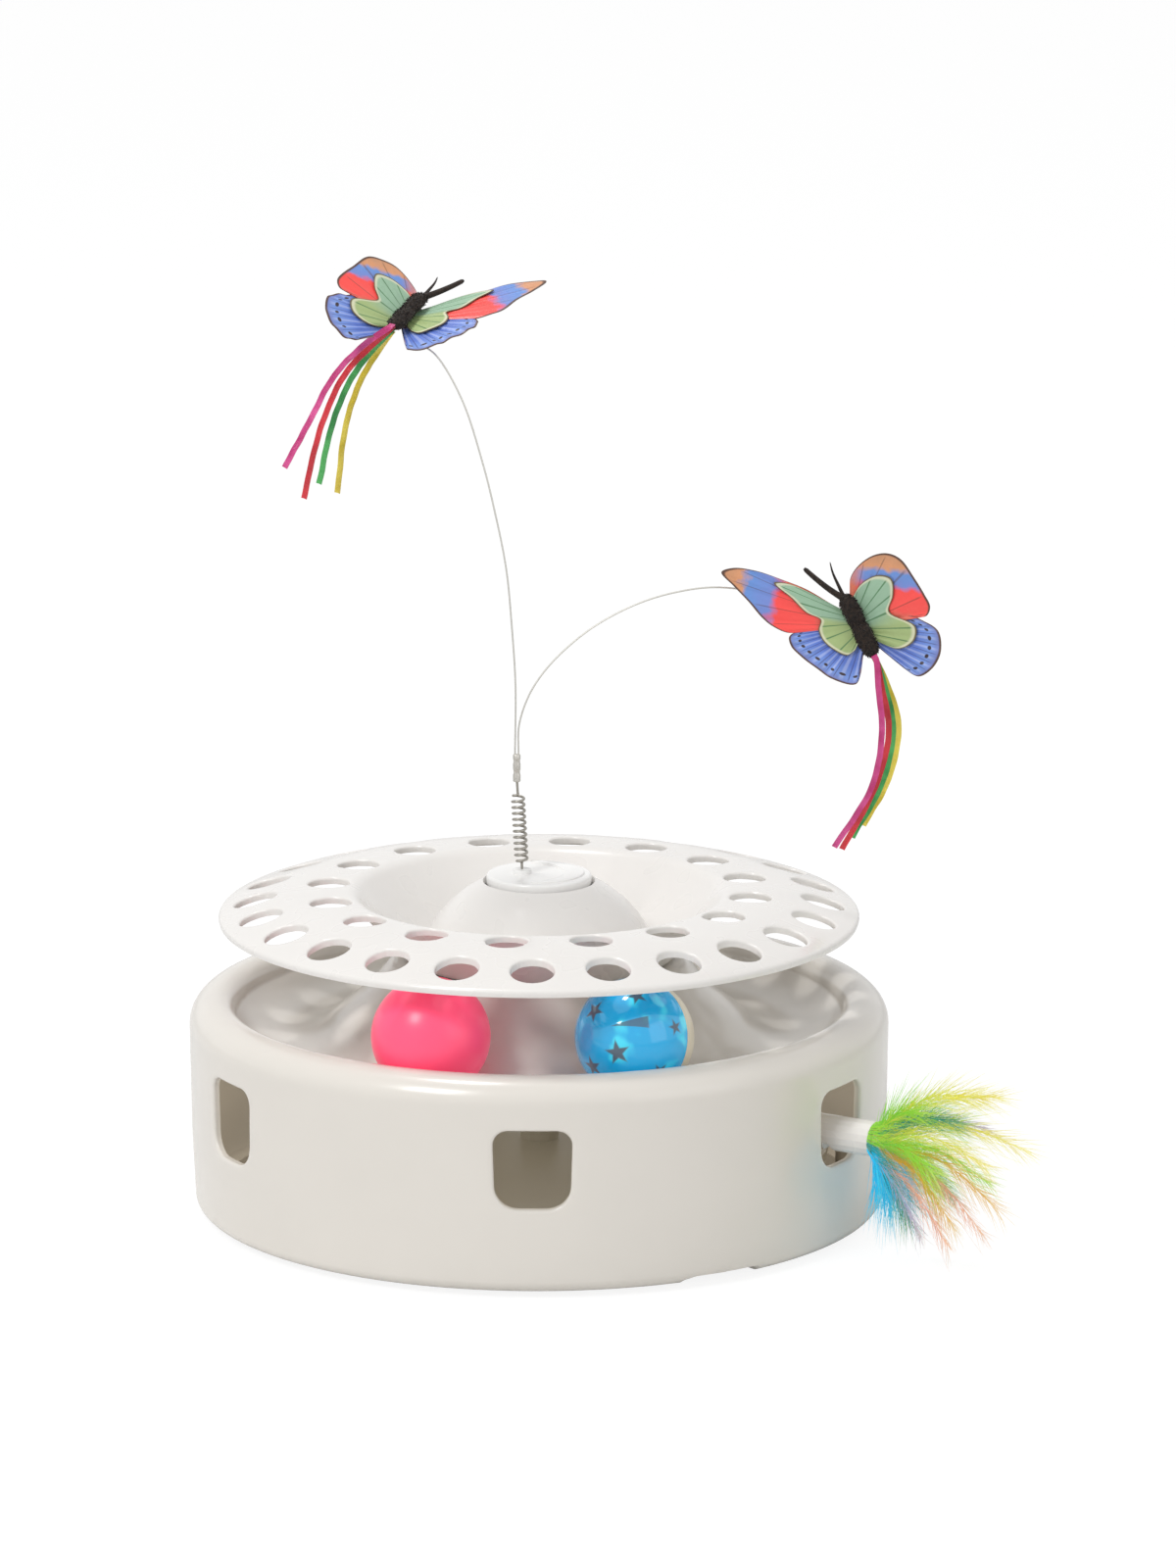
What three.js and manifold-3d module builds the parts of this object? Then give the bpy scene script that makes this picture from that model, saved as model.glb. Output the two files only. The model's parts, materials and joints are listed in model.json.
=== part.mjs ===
// Interactive cat toy: a round drum with a ball track, a pop-out feather and two butterfly lures.
// Millimetres, +Z up. The origin is the centre of the flat underside. Angles around the drum are
// azimuths in degrees: 0 is the front (-Y) and 90 is the right side (+X).
import * as THREE from 'three';
import { mergeVertices } from 'three/addons/utils/BufferGeometryUtils.js';
import Module from 'manifold-3d';

const wasm = await Module();
wasm.setup();

// Clearances
const SEAT = 0.3; // between two pieces that rest on or in each other
const RUNNING = 0.35; // round a turning or sliding piece
const GEAR_PLAY = 0.3; // taken off each side of a gear tooth

// Drum
const DRUM_RADIUS = 120;
const DRUM_FOOT_RADIUS = 113.6;
const LIP_WIDTH = 2.1; // the flat lower edge of the wall, inside its foot
const DRUM_WALL = 2.5;
const RIM_HEIGHT = 73;
const RIM_FILLET = 9.5;
const RIM_INNER_FILLET = 6.2;
const RING_STEPS = 32;

// Ball track and balls
const BALL_RADIUS = 20;
const BALL_WALL = 1.8;
const TRACK_INSET = 33; // from the drum's wall to the middle of the track
const TRACK_FLOOR = 58;
const TRACK_CURVE = 23;
const PINK_BALL_AT = -24.6;
const BLUE_BALL_AT = 21.4;

// Hub in the middle of the track
const HUB_TOP = 86;
const HUB_TOP_RADIUS = 49;
const HUB_SLOPE_SHARE = 0.62; // how far towards the hub the slope bends
const TOWER_RADIUS = 7.5;
const TOWER_HEIGHT = 12;

// Windows in the drum wall
const WINDOW_COUNT = 6;
const WINDOW_FIRST_AT = -1.1;
const WINDOW_MIDDLE = 42.6;
const WINDOW_TOP_WIDTH = 26.8;
const WINDOW_BOTTOM_WIDTH = 25.2;
const WINDOW_HEIGHT = 27;
const WINDOW_TOP_CORNER = 5;
const WINDOW_BOTTOM_CORNER = 8;

// Finger notch in the lower edge of the drum
const NOTCH_AT = 31.5;
const NOTCH_WIDTH = 30;
const NOTCH_HEIGHT = 2.4;

// Bottom plate, feet and screws
const PLATE_THICKNESS = 2.5;
const FOOT_RADIUS = 7;
const FOOT_DROP = 2;
const FOOT_RECESS = 1;
const FOOT_INSET = 10.5; // from the lip to the feet
const FOOT_FIRST_AT = -65;
const POST_INSET = 5; // from the lip to the screw posts
const POST_RADIUS = 4.6;
const POST_HEIGHT = 22;
const POST_FIRST_AT = 88.9;
const SCREW_RADIUS = 1.5;
const SCREW_HEAD_RADIUS = 3;
const SCREW_HEAD_HEIGHT = 1.5;
const SCREW_LENGTH = 14;

// Batteries: four AA cells side by side
const CELL_RADIUS = 7.1;
const CELL_LENGTH = 50.5;
const CELL_PITCH = 15;
const CELL_COUNT = 4;
const BAY_MIDDLE = -63.5;
const BAY_WALL = 1.6;
const BAY_END_ROOM = 3.1;
const DOOR_THICKNESS = 2;
const DOOR_MARGIN = 1.5;
const CONTACT_THICKNESS = 0.6;

// Power switch
const SWITCH_CIRCLE = 88;
const SWITCH_TRAVEL = 4;
const KNOB_LENGTH = 8;
const KNOB_WIDTH = 4.4;
const KNOB_DROP = 1.2;

// Circuit board
const BOARD_LENGTH = 46;
const BOARD_WIDTH = 30;
const BOARD_THICKNESS = 1.6;
const BOARD_LEVEL = 7;
const BOARD_X = 48;
const BOARD_Y = 58;

// Feather rod, its rack and its carousel
const ROD_AT = 58.9;
const ROD_RADIUS = 6;
const ROD_LEVEL = 39.4;
const ROD_INNER_END = 22;
const ROD_OUTER_END = 132;
const ROD_TRAVEL = 60;
const ROD_SOCKET_RADIUS = 4;
const ROD_SOCKET_DEPTH = 9;
const RACK_MODULE = 1.5;
const RACK_DROP = 5.5; // from the rod's axis to the tips of the rack's teeth
const RACK_PINION_TEETH = 8;
const RACK_PINION_REACH = 45; // from the drum's axis
const RACK_PINION_WIDTH = 3.4;
const SLIDE_MOTOR_RADIUS = 6.4;
const SLIDE_MOTOR_LENGTH = 20;
const CAROUSEL_CLEARANCE = 2; // between the carousel's edge and the screw posts
const CAROUSEL_THICKNESS = 2.5;
const CAROUSEL_LEVEL = 19;
const CAROUSEL_TEETH = 24;
const CAROUSEL_PINION_TEETH = 8;
const CAROUSEL_MODULE = 2;
const CAROUSEL_GEAR_HEIGHT = 5.5;
const CAROUSEL_MOTOR_AT = 90;
const AXLE_RADIUS = 3;
const AXLE_HEAD_RADIUS = 5.5;
const AXLE_HEAD_HEIGHT = 2;
const SADDLE_WIDTH = 20;
const SADDLE_LENGTH = 8;
const SADDLE_REACHES = [29, 59];
const SADDLE_TOP = 48;
const FLAT_MOTOR_RADIUS = 12;

// Feather tuft: plume lengths and the angles at which they fan out
const TUFT_ROOT_RADIUS = 2;
const PLUME_COUNT = 6;
const PLUME_TOP_ANGLE = 23;
const PLUME_BOTTOM_ANGLE = -62;
const PLUME_TOP_LENGTH = 55;
const PLUME_BOTTOM_LENGTH = 31;
const PLUME_WIDTH = 4.6;
const PLUME_SWAY = 17;

// Perforated track cover with its funnel and dome
const COVER_RADIUS = 109.8;
const COVER_EDGE_HEIGHT = 100;
const COVER_WALL = 2.4;
const OUTER_HOLE_COUNT = 24;
const OUTER_HOLE_RADIUS = 7.4;
const OUTER_HOLE_CIRCLE = 97.2;
const OUTER_HOLE_FIRST_AT = -1.3;
const INNER_HOLE_COUNT = 16;
const INNER_HOLE_RADIUS = 7.2;
const INNER_HOLE_CIRCLE = 72.9;
const INNER_HOLE_FIRST_AT = -8.6;
const HOLE_SIDES = 8;
const DOME_MOUTH_RADIUS = 19.2;
const DOME_MOUTH_HEIGHT = 112.6;
const PEG_CIRCLE = 43;
const PEG_RADIUS = 3;
const PEG_LENGTH = 8;
const PEG_COUNT = 3;
const PEG_FIRST_AT = 100;

// Lure drive
const TURNTABLE_RADIUS = 18;
const TURNTABLE_TOP = 115.1;
const TURNTABLE_THICKNESS = 3.7;
const SPINDLE_RADIUS = 2;
const SPINDLE_FOOT = 70;
const BUSH_WALL = 2;
const LURE_MODULE = 1.5;
const LURE_GEAR_TEETH = 18;
const LURE_PINION_TEETH = 9;
const LURE_GEAR_THICKNESS = 5;
const LURE_GEAR_LEVEL = 74;
const LURE_MOTOR_HEIGHT = 22;
const LURE_MOTOR_AT = 150;
const EAR_REACH = 17;
const EAR_RADIUS = 3.2;
const EAR_THICKNESS = 2;

// Lure spring, ferrule and wires
const SPRING_X = -5.8;
const SPRING_WIRE_RADIUS = 0.45;
const SPRING_COIL_RADIUS = 2.05;
const SPRING_TURNS = 12;
const SPRING_STAND = 2.1; // from the turntable up to the first curl
const SPRING_LENGTH = 29.4;
const SPRING_LEAN = -1.6; // sideways, from foot to head
const SPRING_TAIL = 2.2; // straight wire at each end
const SPRING_BOSS_RADIUS = 3.2;
const SPRING_BOSS_HEIGHT = 1.5;
const FERRULE_RADIUS = 1.3;
const FERRULE_LENGTH = 9.5;
const LURE_WIRE_RADIUS = 0.32;
const LURE_WIRE_SPREAD = 0.6;

// Butterfly lures: sheet thickness, fold line beside the body, and slopes of the two sides
const WING_SHEET = 0.6;
const FOLD_LINE = 3.9;
const LONG_SIDE_SLOPE = 0.12;
const SHORT_SIDE_SLOPE = 0.6;
const BODY_THICKNESS = 4;
const BODY_WIDTH = 6.4;
const BODY_LEAN = 26; // the body's turn from the wings' upright, in degrees
const BODY_LENGTH = 24;
const RIBBON_WIDTH = 2;
const RIBBON_THICKNESS = 0.5;
const RIBBON_PITCH = 0.95; // between neighbours on the end of the body
const RIBBON_STEPS = 2; // between two stops

const lipRadius = DRUM_FOOT_RADIUS - LIP_WIDTH;
const footCircle = lipRadius - FOOT_INSET;
const postCircle = lipRadius - POST_INSET;
const trackRadius = DRUM_RADIUS - TRACK_INSET;
const springFoot = TURNTABLE_TOP + SPRING_STAND;
const springHead = springFoot + SPRING_LENGTH;

const radians = THREE.MathUtils.degToRad;
const { lerp } = THREE.MathUtils;
const point = (x, y, z) => new THREE.Vector3(x, y, z);

// Solids: closed meshes are joined and cut as manifolds, and become geometry again.
function solid(geometry) {
  const bare = geometry.clone();
  bare.deleteAttribute('normal');
  bare.deleteAttribute('uv');
  const merged = mergeVertices(bare, 1e-4);
  const corners = merged.index.array;
  const kept = [];
  for (let i = 0; i < corners.length; i += 3) {
    const [a, b, c] = corners.slice(i, i + 3);
    if (a !== b && b !== c && a !== c) kept.push(a, b, c);
  }
  const mesh = new wasm.Mesh({
    numProp: 3,
    vertProperties: new Float32Array(merged.attributes.position.array),
    triVerts: new Uint32Array(kept),
  });
  return new wasm.Manifold(mesh);
}

function geometryOf(manifold) {
  const mesh = manifold.getMesh();
  const geometry = new THREE.BufferGeometry();
  geometry.setAttribute('position', new THREE.BufferAttribute(mesh.vertProperties, 3));
  geometry.setIndex(new THREE.BufferAttribute(mesh.triVerts, 1));
  return geometry;
}

function join(...shapes) {
  return geometryOf(shapes.map(solid).reduce((whole, next) => whole.add(next)));
}

function cut(shape, ...tools) {
  return geometryOf(tools.map(solid).reduce((whole, tool) => whole.subtract(tool), solid(shape)));
}

function common(shape, other) {
  return geometryOf(solid(shape).intersect(solid(other)));
}

// Basic shapes, standing on the z given
function cylinder(radius, bottom, top, steps = 24, topRadius = radius) {
  const shape = new THREE.CylinderGeometry(topRadius, radius, top - bottom, steps);
  return shape.rotateX(Math.PI / 2).translate(0, 0, (top + bottom) / 2);
}

function block(length, width, bottom, top) {
  return new THREE.BoxGeometry(length, width, top - bottom).translate(0, 0, (top + bottom) / 2);
}

function ring(outer, inner, bottom, top, steps = 24) {
  return cut(cylinder(outer, bottom, top, steps), cylinder(inner, bottom - 1, top + 1, steps));
}

// Turns a shape that is modelled along +X out to an azimuth of the drum
function out(shape, azimuth, reach = 0) {
  return shape.translate(reach, 0, 0).rotateZ(radians(azimuth - 90));
}

function spread(count, firstAt, make) {
  return Array.from({ length: count }, (_, i) => make(firstAt + (360 / count) * i, i));
}

// A profile of [radius, height] points turned about the drum's axis
function revolve(profile, steps = RING_STEPS) {
  const points = profile.map(([r, z]) => new THREE.Vector2(r, z));
  if (THREE.ShapeUtils.area(points) < 0) points.reverse();
  points.push(points[0].clone());
  return new THREE.LatheGeometry(points, steps).rotateX(Math.PI / 2);
}

function arc(centre, radius, fromAngle, toAngle, steps) {
  return Array.from({ length: steps + 1 }, (_, i) => {
    const angle = radians(fromAngle + ((toAngle - fromAngle) * i) / steps);
    return [centre[0] + radius * Math.cos(angle), centre[1] + radius * Math.sin(angle)];
  });
}

// The skin of a moulding: its outer profile, and the same profile moved in by the wall, where
// every second point is enough
function skin(outer, wall, firstKept) {
  const inner = outer.map(([r, z], i) => {
    const before = outer[Math.max(i - 1, 0)];
    const after = outer[Math.min(i + 1, outer.length - 1)];
    const run = new THREE.Vector2(after[0] - before[0], after[1] - before[1]).normalize();
    return [r - run.y * wall, z + run.x * wall];
  });
  const ends = [0, inner.length - 1];
  return [...outer, ...inner.filter((_, i) => ends.includes(i) || i % 2 === firstKept).reverse()];
}

function roundedOutline(topWidth, bottomWidth, height, topCorner, bottomCorner) {
  const shape = new THREE.Shape();
  const top = topWidth / 2;
  const bottom = bottomWidth / 2;
  const half = height / 2;
  shape.moveTo(-bottom + bottomCorner, -half);
  shape.lineTo(bottom - bottomCorner, -half);
  shape.quadraticCurveTo(bottom, -half, bottom, -half + bottomCorner);
  shape.lineTo(top, half - topCorner);
  shape.quadraticCurveTo(top, half, top - topCorner, half);
  shape.lineTo(-top + topCorner, half);
  shape.quadraticCurveTo(-top, half, -top, half - topCorner);
  shape.lineTo(-bottom, -half + bottomCorner);
  shape.quadraticCurveTo(-bottom, -half, -bottom + bottomCorner, -half);
  return shape;
}

function extrude(shape, depth, curveSegments = 3) {
  return new THREE.ExtrudeGeometry(shape, { depth, bevelEnabled: false, curveSegments });
}

// Spur gears: straight-flanked teeth, four points each
function gearOutline(teeth, module, turn = 0) {
  const pitchRadius = (teeth * module) / 2;
  const pitchAngle = (2 * Math.PI) / teeth;
  const tip = pitchRadius + 0.9 * module;
  const root = pitchRadius - 1.2 * module;
  const play = GEAR_PLAY / pitchRadius;
  const halfAtTip = 0.1 * pitchAngle - play / 2;
  const halfAtRoot = 0.36 * pitchAngle - play / 2;
  const shape = new THREE.Shape();
  for (let i = 0; i < teeth; i += 1) {
    const middle = i * pitchAngle + turn;
    const corners = [
      [root, middle - halfAtRoot],
      [tip, middle - halfAtTip],
      [tip, middle + halfAtTip],
      [root, middle + halfAtRoot],
    ];
    corners.forEach(([r, angle], j) => {
      const [x, y] = [r * Math.cos(angle), r * Math.sin(angle)];
      if (i === 0 && j === 0) shape.moveTo(x, y);
      else shape.lineTo(x, y);
    });
  }
  shape.closePath();
  return shape;
}

function gear(teeth, module, bottom, thickness, turn = 0) {
  return extrude(gearOutline(teeth, module, turn), thickness).translate(0, 0, bottom);
}

const material = (color, roughness = 0.5, metalness = 0, extra = {}) =>
  new THREE.MeshStandardMaterial({ color, roughness, metalness, ...extra });
const shellPlastic = () => material('#d8d3cd', 0.45);
const coverPlastic = () => material('#edebe8', 0.4);
const innerPlastic = () => material('#cfc9c0', 0.6);
const gearPlastic = () => material('#e8e4da', 0.5);
const steel = () => material('#b9babc', 0.3, 1);
const motorCase = () => material('#a7a9ac', 0.35, 0.9);
const rubber = () => material('#57544f', 0.85);

const toy = new THREE.Group();

function part(name, shape, finish, owner = toy) {
  const mesh = new THREE.Mesh(shape, finish);
  mesh.name = name;
  owner.add(mesh);
  return mesh;
}

// Drum: wall, rolled rim, ball track and hub are one moulding
function drumProfile() {
  const rimMiddle = DRUM_RADIUS - RIM_FILLET;
  const crown = RIM_HEIGHT - RIM_INNER_FILLET;
  const bowl = arc([trackRadius, TRACK_FLOOR + TRACK_CURVE], TRACK_CURVE, -42, -138, 5);
  const bowlEnd = bowl[bowl.length - 1];
  const shoulder = [HUB_TOP_RADIUS + 4.2, HUB_TOP - 4];
  const outer = [
    [lipRadius, 0],
    [DRUM_FOOT_RADIUS, 0],
    [DRUM_FOOT_RADIUS + 2.6, 1.2],
    [DRUM_RADIUS - 2, 4.4],
    [DRUM_RADIUS - 0.8, 24],
    ...arc([rimMiddle, RIM_HEIGHT - RIM_FILLET], RIM_FILLET, 0, 90, 3),
    ...arc([rimMiddle, crown], RIM_INNER_FILLET, 125, 170, 1),
    ...bowl,
    [lerp(bowlEnd[0], shoulder[0], HUB_SLOPE_SHARE), (bowlEnd[1] + shoulder[1]) / 2],
    shoulder,
    [HUB_TOP_RADIUS + 1, HUB_TOP - 0.6],
    [HUB_TOP_RADIUS - 2, HUB_TOP],
    [TOWER_RADIUS, HUB_TOP],
  ];
  return skin(outer, DRUM_WALL, 1);
}

function baseShell() {
  const roofUnderside = HUB_TOP - DRUM_WALL;
  const bushBore = SPINDLE_RADIUS + RUNNING + BUSH_WALL + SEAT;
  const tower = cylinder(TOWER_RADIUS + 1, roofUnderside, HUB_TOP + TOWER_HEIGHT, 16, TOWER_RADIUS);
  const windowOutline = roundedOutline(
    WINDOW_TOP_WIDTH,
    WINDOW_BOTTOM_WIDTH,
    WINDOW_HEIGHT,
    WINDOW_TOP_CORNER,
    WINDOW_BOTTOM_CORNER,
  );
  const windows = spread(WINDOW_COUNT, WINDOW_FIRST_AT, (azimuth) => {
    const cutter = extrude(windowOutline, DRUM_WALL * 6, 3);
    cutter.rotateX(Math.PI / 2).rotateZ(Math.PI / 2).translate(0, 0, WINDOW_MIDDLE);
    return out(cutter, azimuth, DRUM_RADIUS - DRUM_WALL * 3);
  });
  const postBottom = PLATE_THICKNESS + SEAT;
  const posts = spread(3, POST_FIRST_AT, (azimuth) => {
    const web = block(DRUM_RADIUS - DRUM_WALL - postCircle, 3, postBottom + 1, POST_HEIGHT);
    web.translate((DRUM_RADIUS - DRUM_WALL - postCircle) / 2, 0, 0);
    return out(join(cylinder(POST_RADIUS, postBottom, POST_HEIGHT, 8), web), azimuth, postCircle);
  });
  const pilots = spread(3, POST_FIRST_AT, (azimuth) =>
    out(cylinder(SCREW_RADIUS + SEAT, 0, POST_HEIGHT - 3, 6), azimuth, postCircle));
  const motorReach = ((LURE_GEAR_TEETH + LURE_PINION_TEETH) * LURE_MODULE) / 2;
  const hangers = [-EAR_REACH, EAR_REACH].map((side) => {
    const hanger = cylinder(EAR_RADIUS, LURE_GEAR_LEVEL - 0.7, HUB_TOP - 0.5, 8);
    return out(hanger.translate(0, side, 0), LURE_MOTOR_AT, motorReach);
  });
  const pegHoles = spread(PEG_COUNT, PEG_FIRST_AT, (azimuth) =>
    out(cylinder(PEG_RADIUS + SEAT, HUB_TOP - 6, HUB_TOP + 2, 8), azimuth, PEG_CIRCLE));
  const notch = extrude(roundedOutline(NOTCH_WIDTH, NOTCH_WIDTH + 6, NOTCH_HEIGHT * 2, 2, 1), 6, 3);
  notch.rotateX(Math.PI / 2).rotateZ(Math.PI / 2);
  return cut(
    join(revolve(drumProfile()), tower, ...posts, ...hangers),
    ...windows,
    ...pilots,
    ...pegHoles,
    cylinder(bushBore, roofUnderside - 1, HUB_TOP + TOWER_HEIGHT + 1, 12),
    out(notch, NOTCH_AT, DRUM_FOOT_RADIUS + 1.2),
  );
}
part('base_shell', baseShell(), shellPlastic());

// Bottom plate with the battery bay, the axle boss and the board posts
const bayLength = CELL_PITCH * CELL_COUNT + 1;
const bayWidth = CELL_LENGTH + 2 * BAY_END_ROOM;
const bayTop = DOOR_THICKNESS + 2 * (CELL_RADIUS + SEAT) + SEAT;
const doorLength = bayLength - 2 * DOOR_MARGIN;
const doorWidth = bayWidth - 2 * DOOR_MARGIN;
const doorScrewX = BAY_MIDDLE - bayLength / 2 - BAY_WALL - 5;
const axleBossTop = CAROUSEL_LEVEL - CAROUSEL_GEAR_HEIGHT - SEAT;

function bottomPlate() {
  const boardPosts = [-1, 1].flatMap((sideX) => [-1, 1].map((sideY) => {
    const x = BOARD_X + sideX * (BOARD_LENGTH / 2 - 4);
    const y = BOARD_Y + sideY * (BOARD_WIDTH / 2 - 4);
    return cylinder(2.2, 1, BOARD_LEVEL - SEAT, 8).translate(x, y, 0);
  }));
  const bay = block(bayLength + 2 * BAY_WALL, bayWidth + 2 * BAY_WALL, 0, bayTop + BAY_WALL);
  const outline = join(
    cylinder(lipRadius - SEAT, 0, PLATE_THICKNESS, RING_STEPS),
    bay.translate(BAY_MIDDLE, 0, 0),
    cylinder(AXLE_RADIUS + 3, 1, axleBossTop, 16),
    cylinder(4.5, 1, DOOR_THICKNESS + 6, 12).translate(doorScrewX, 0, 0),
    ...boardPosts,
  );
  const footRecesses = spread(3, FOOT_FIRST_AT, (azimuth) =>
    out(cylinder(FOOT_RADIUS + SEAT, -1, FOOT_RECESS, 14), azimuth, footCircle));
  const screwHoles = spread(3, POST_FIRST_AT, (azimuth) => {
    const head = cylinder(SCREW_HEAD_RADIUS + SEAT, -1, SCREW_HEAD_HEIGHT + SEAT, 12);
    return out(join(head, cylinder(SCREW_RADIUS + SEAT, -1, 5, 8)), azimuth, postCircle);
  });
  const knobSlot = block(KNOB_LENGTH + SWITCH_TRAVEL + 2 * RUNNING, KNOB_WIDTH + 2 * RUNNING, -1, 4);
  const doorSeat = block(doorLength + 2 * SEAT, doorWidth + 2 * SEAT, -1, DOOR_THICKNESS + SEAT);
  const earSeat = cylinder(5.5 + SEAT, -1, DOOR_THICKNESS - 0.4, 16).translate(doorScrewX, 0, 0);
  const earNeck = block(12, 9 + 2 * SEAT, -1, DOOR_THICKNESS - 0.4);
  return cut(
    outline,
    doorSeat.translate(BAY_MIDDLE, 0, 0),
    earSeat,
    earNeck.translate(doorScrewX + 5, 0, 0),
    block(bayLength, bayWidth, DOOR_THICKNESS, bayTop).translate(BAY_MIDDLE, 0, 0),
    cylinder(1.2 + SEAT, -1, DOOR_THICKNESS + 5, 10).translate(doorScrewX, 0, 0),
    cylinder(AXLE_RADIUS + SEAT, 1.2, axleBossTop + 1, 20),
    knobSlot.translate(0, SWITCH_CIRCLE, 0),
    ...footRecesses,
    ...screwHoles,
  );
}
part('bottom_plate', bottomPlate(), shellPlastic());

spread(3, FOOT_FIRST_AT, (azimuth, i) => {
  const pad = cylinder(FOOT_RADIUS - 0.8, -FOOT_DROP, -FOOT_DROP + 0.8, 14, FOOT_RADIUS);
  const stem = cylinder(FOOT_RADIUS, -FOOT_DROP + 0.8, FOOT_RECESS - SEAT, 14);
  part(`foot_pad_${i + 1}`, out(join(pad, stem), azimuth, footCircle), rubber());
});

function screw(shankRadius, headRadius, headHeight, length) {
  const head = cylinder(headRadius, 0, headHeight, 10);
  const shank = cylinder(shankRadius, headHeight / 2, length, 6);
  const slot = block(headRadius * 1.3, headRadius * 0.3, -1, headHeight / 2);
  return cut(join(head, shank), slot);
}

spread(3, POST_FIRST_AT, (azimuth, i) => {
  const plateScrew = screw(SCREW_RADIUS, SCREW_HEAD_RADIUS, SCREW_HEAD_HEIGHT, SCREW_LENGTH);
  part(`plate_screw_${i + 1}`, out(plateScrew, azimuth, postCircle), steel());
});

// Battery door, cells and contacts
function batteryDoor() {
  const panel = block(doorLength, doorWidth, 0, DOOR_THICKNESS).translate(BAY_MIDDLE, 0, 0);
  const ear = cylinder(5.5, 0, DOOR_THICKNESS - 0.7, 16).translate(doorScrewX, 0, 0);
  const neck = block(12, 9, 0, DOOR_THICKNESS - 0.7).translate(doorScrewX + 5, 0, 0);
  const ribs = Array.from({ length: 5 }, (_, i) =>
    block(1.2, 16, -1, 0.6).translate(BAY_MIDDLE + doorLength / 2 - 5 - 3 * i, 0, 0));
  const screwHole = join(
    cylinder(2.4, -1, 0.8, 14),
    cylinder(1.2 + SEAT, -1, DOOR_THICKNESS + 1, 10),
  ).translate(doorScrewX, 0, 0);
  return cut(join(panel, neck, ear), screwHole, ...ribs);
}
part('battery_door', batteryDoor(), shellPlastic());
part('battery_door_screw', screw(1.2, 2.1, 0.5, 6).translate(doorScrewX, 0, 0), steel());

const cellLevel = DOOR_THICKNESS + SEAT + CELL_RADIUS;
for (let i = 0; i < CELL_COUNT; i += 1) {
  const can = cylinder(CELL_RADIUS, -CELL_LENGTH / 2, CELL_LENGTH / 2 - 1.5, 12);
  const nub = cylinder(2.7, CELL_LENGTH / 2 - 1.5, CELL_LENGTH / 2, 8);
  const facing = i % 2 === 0 ? 1 : -1;
  const x = BAY_MIDDLE + CELL_PITCH * (i - (CELL_COUNT - 1) / 2);
  const cell = join(can, nub).rotateX((facing * Math.PI) / 2).translate(x, 0, cellLevel);
  part(`battery_cell_${i + 1}`, cell, material('#4d7a57', 0.35, 0.4));
}

function contactStrip(side) {
  const strip = block(bayLength - 2, CONTACT_THICKNESS, cellLevel - 5, cellLevel + 5);
  const leaves = Array.from({ length: CELL_COUNT }, (_, i) => {
    const x = CELL_PITCH * (i - (CELL_COUNT - 1) / 2);
    const gap = BAY_END_ROOM - SEAT - CONTACT_THICKNESS;
    const leaf = cylinder(3, 0, gap - SEAT, 6, 1.4);
    return leaf.rotateX(Math.PI / 2).translate(x, -CONTACT_THICKNESS / 2, cellLevel);
  });
  const y = bayWidth / 2 - SEAT - CONTACT_THICKNESS / 2;
  const whole = join(strip, ...leaves).translate(0, y, 0);
  return whole.rotateZ(side > 0 ? 0 : Math.PI).translate(BAY_MIDDLE, 0, 0);
}
part('battery_contacts_back', contactStrip(1), steel());
part('battery_contacts_front', contactStrip(-1), steel());

// Power switch on the underside
function switchHousing() {
  const housing = block(24, 11, PLATE_THICKNESS + SEAT, 9);
  const pocket = block(17.6, 8.8, PLATE_THICKNESS, PLATE_THICKNESS + 2.4);
  return cut(housing, pocket).translate(0, SWITCH_CIRCLE, 0);
}
part('switch_housing', switchHousing(), material('#3c3c3e', 0.5));

function switchKnob() {
  const flange = block(12, 8, PLATE_THICKNESS + SEAT, PLATE_THICKNESS + SEAT + 1.4);
  const stem = block(KNOB_LENGTH, KNOB_WIDTH, -KNOB_DROP, PLATE_THICKNESS + SEAT + 0.5);
  const grips = [-2, 0, 2].map((x) => block(0.8, KNOB_WIDTH + 1, -KNOB_DROP - 1, -KNOB_DROP + 0.5)
    .translate(x, 0, 0));
  return cut(join(flange, stem), ...grips).translate(-SWITCH_TRAVEL / 2, SWITCH_CIRCLE, 0);
}
part('power_switch', switchKnob(), material('#2d2d30', 0.5));

// Circuit board with its chip and capacitor
function circuitBoard() {
  const board = block(BOARD_LENGTH, BOARD_WIDTH, BOARD_LEVEL, BOARD_LEVEL + BOARD_THICKNESS);
  const top = BOARD_LEVEL + BOARD_THICKNESS;
  const chip = block(10, 6, top - 0.5, top + 1.8).translate(-6, 2, 0);
  const capacitor = cylinder(3, top - 0.5, top + 6, 12).translate(14, -6, 0);
  return join(board, chip, capacitor).translate(BOARD_X, BOARD_Y, 0);
}
part('circuit_board', circuitBoard(), material('#2f6b45', 0.5));

// Carousel: a plate on a central axle that carries the feather rod and turns to face a window
const carouselTop = CAROUSEL_LEVEL + CAROUSEL_THICKNESS;
const gearBottom = CAROUSEL_LEVEL - CAROUSEL_GEAR_HEIGHT;
const carouselBossTop = 26;
const carouselRadius = postCircle - POST_RADIUS - CAROUSEL_CLEARANCE;

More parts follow.
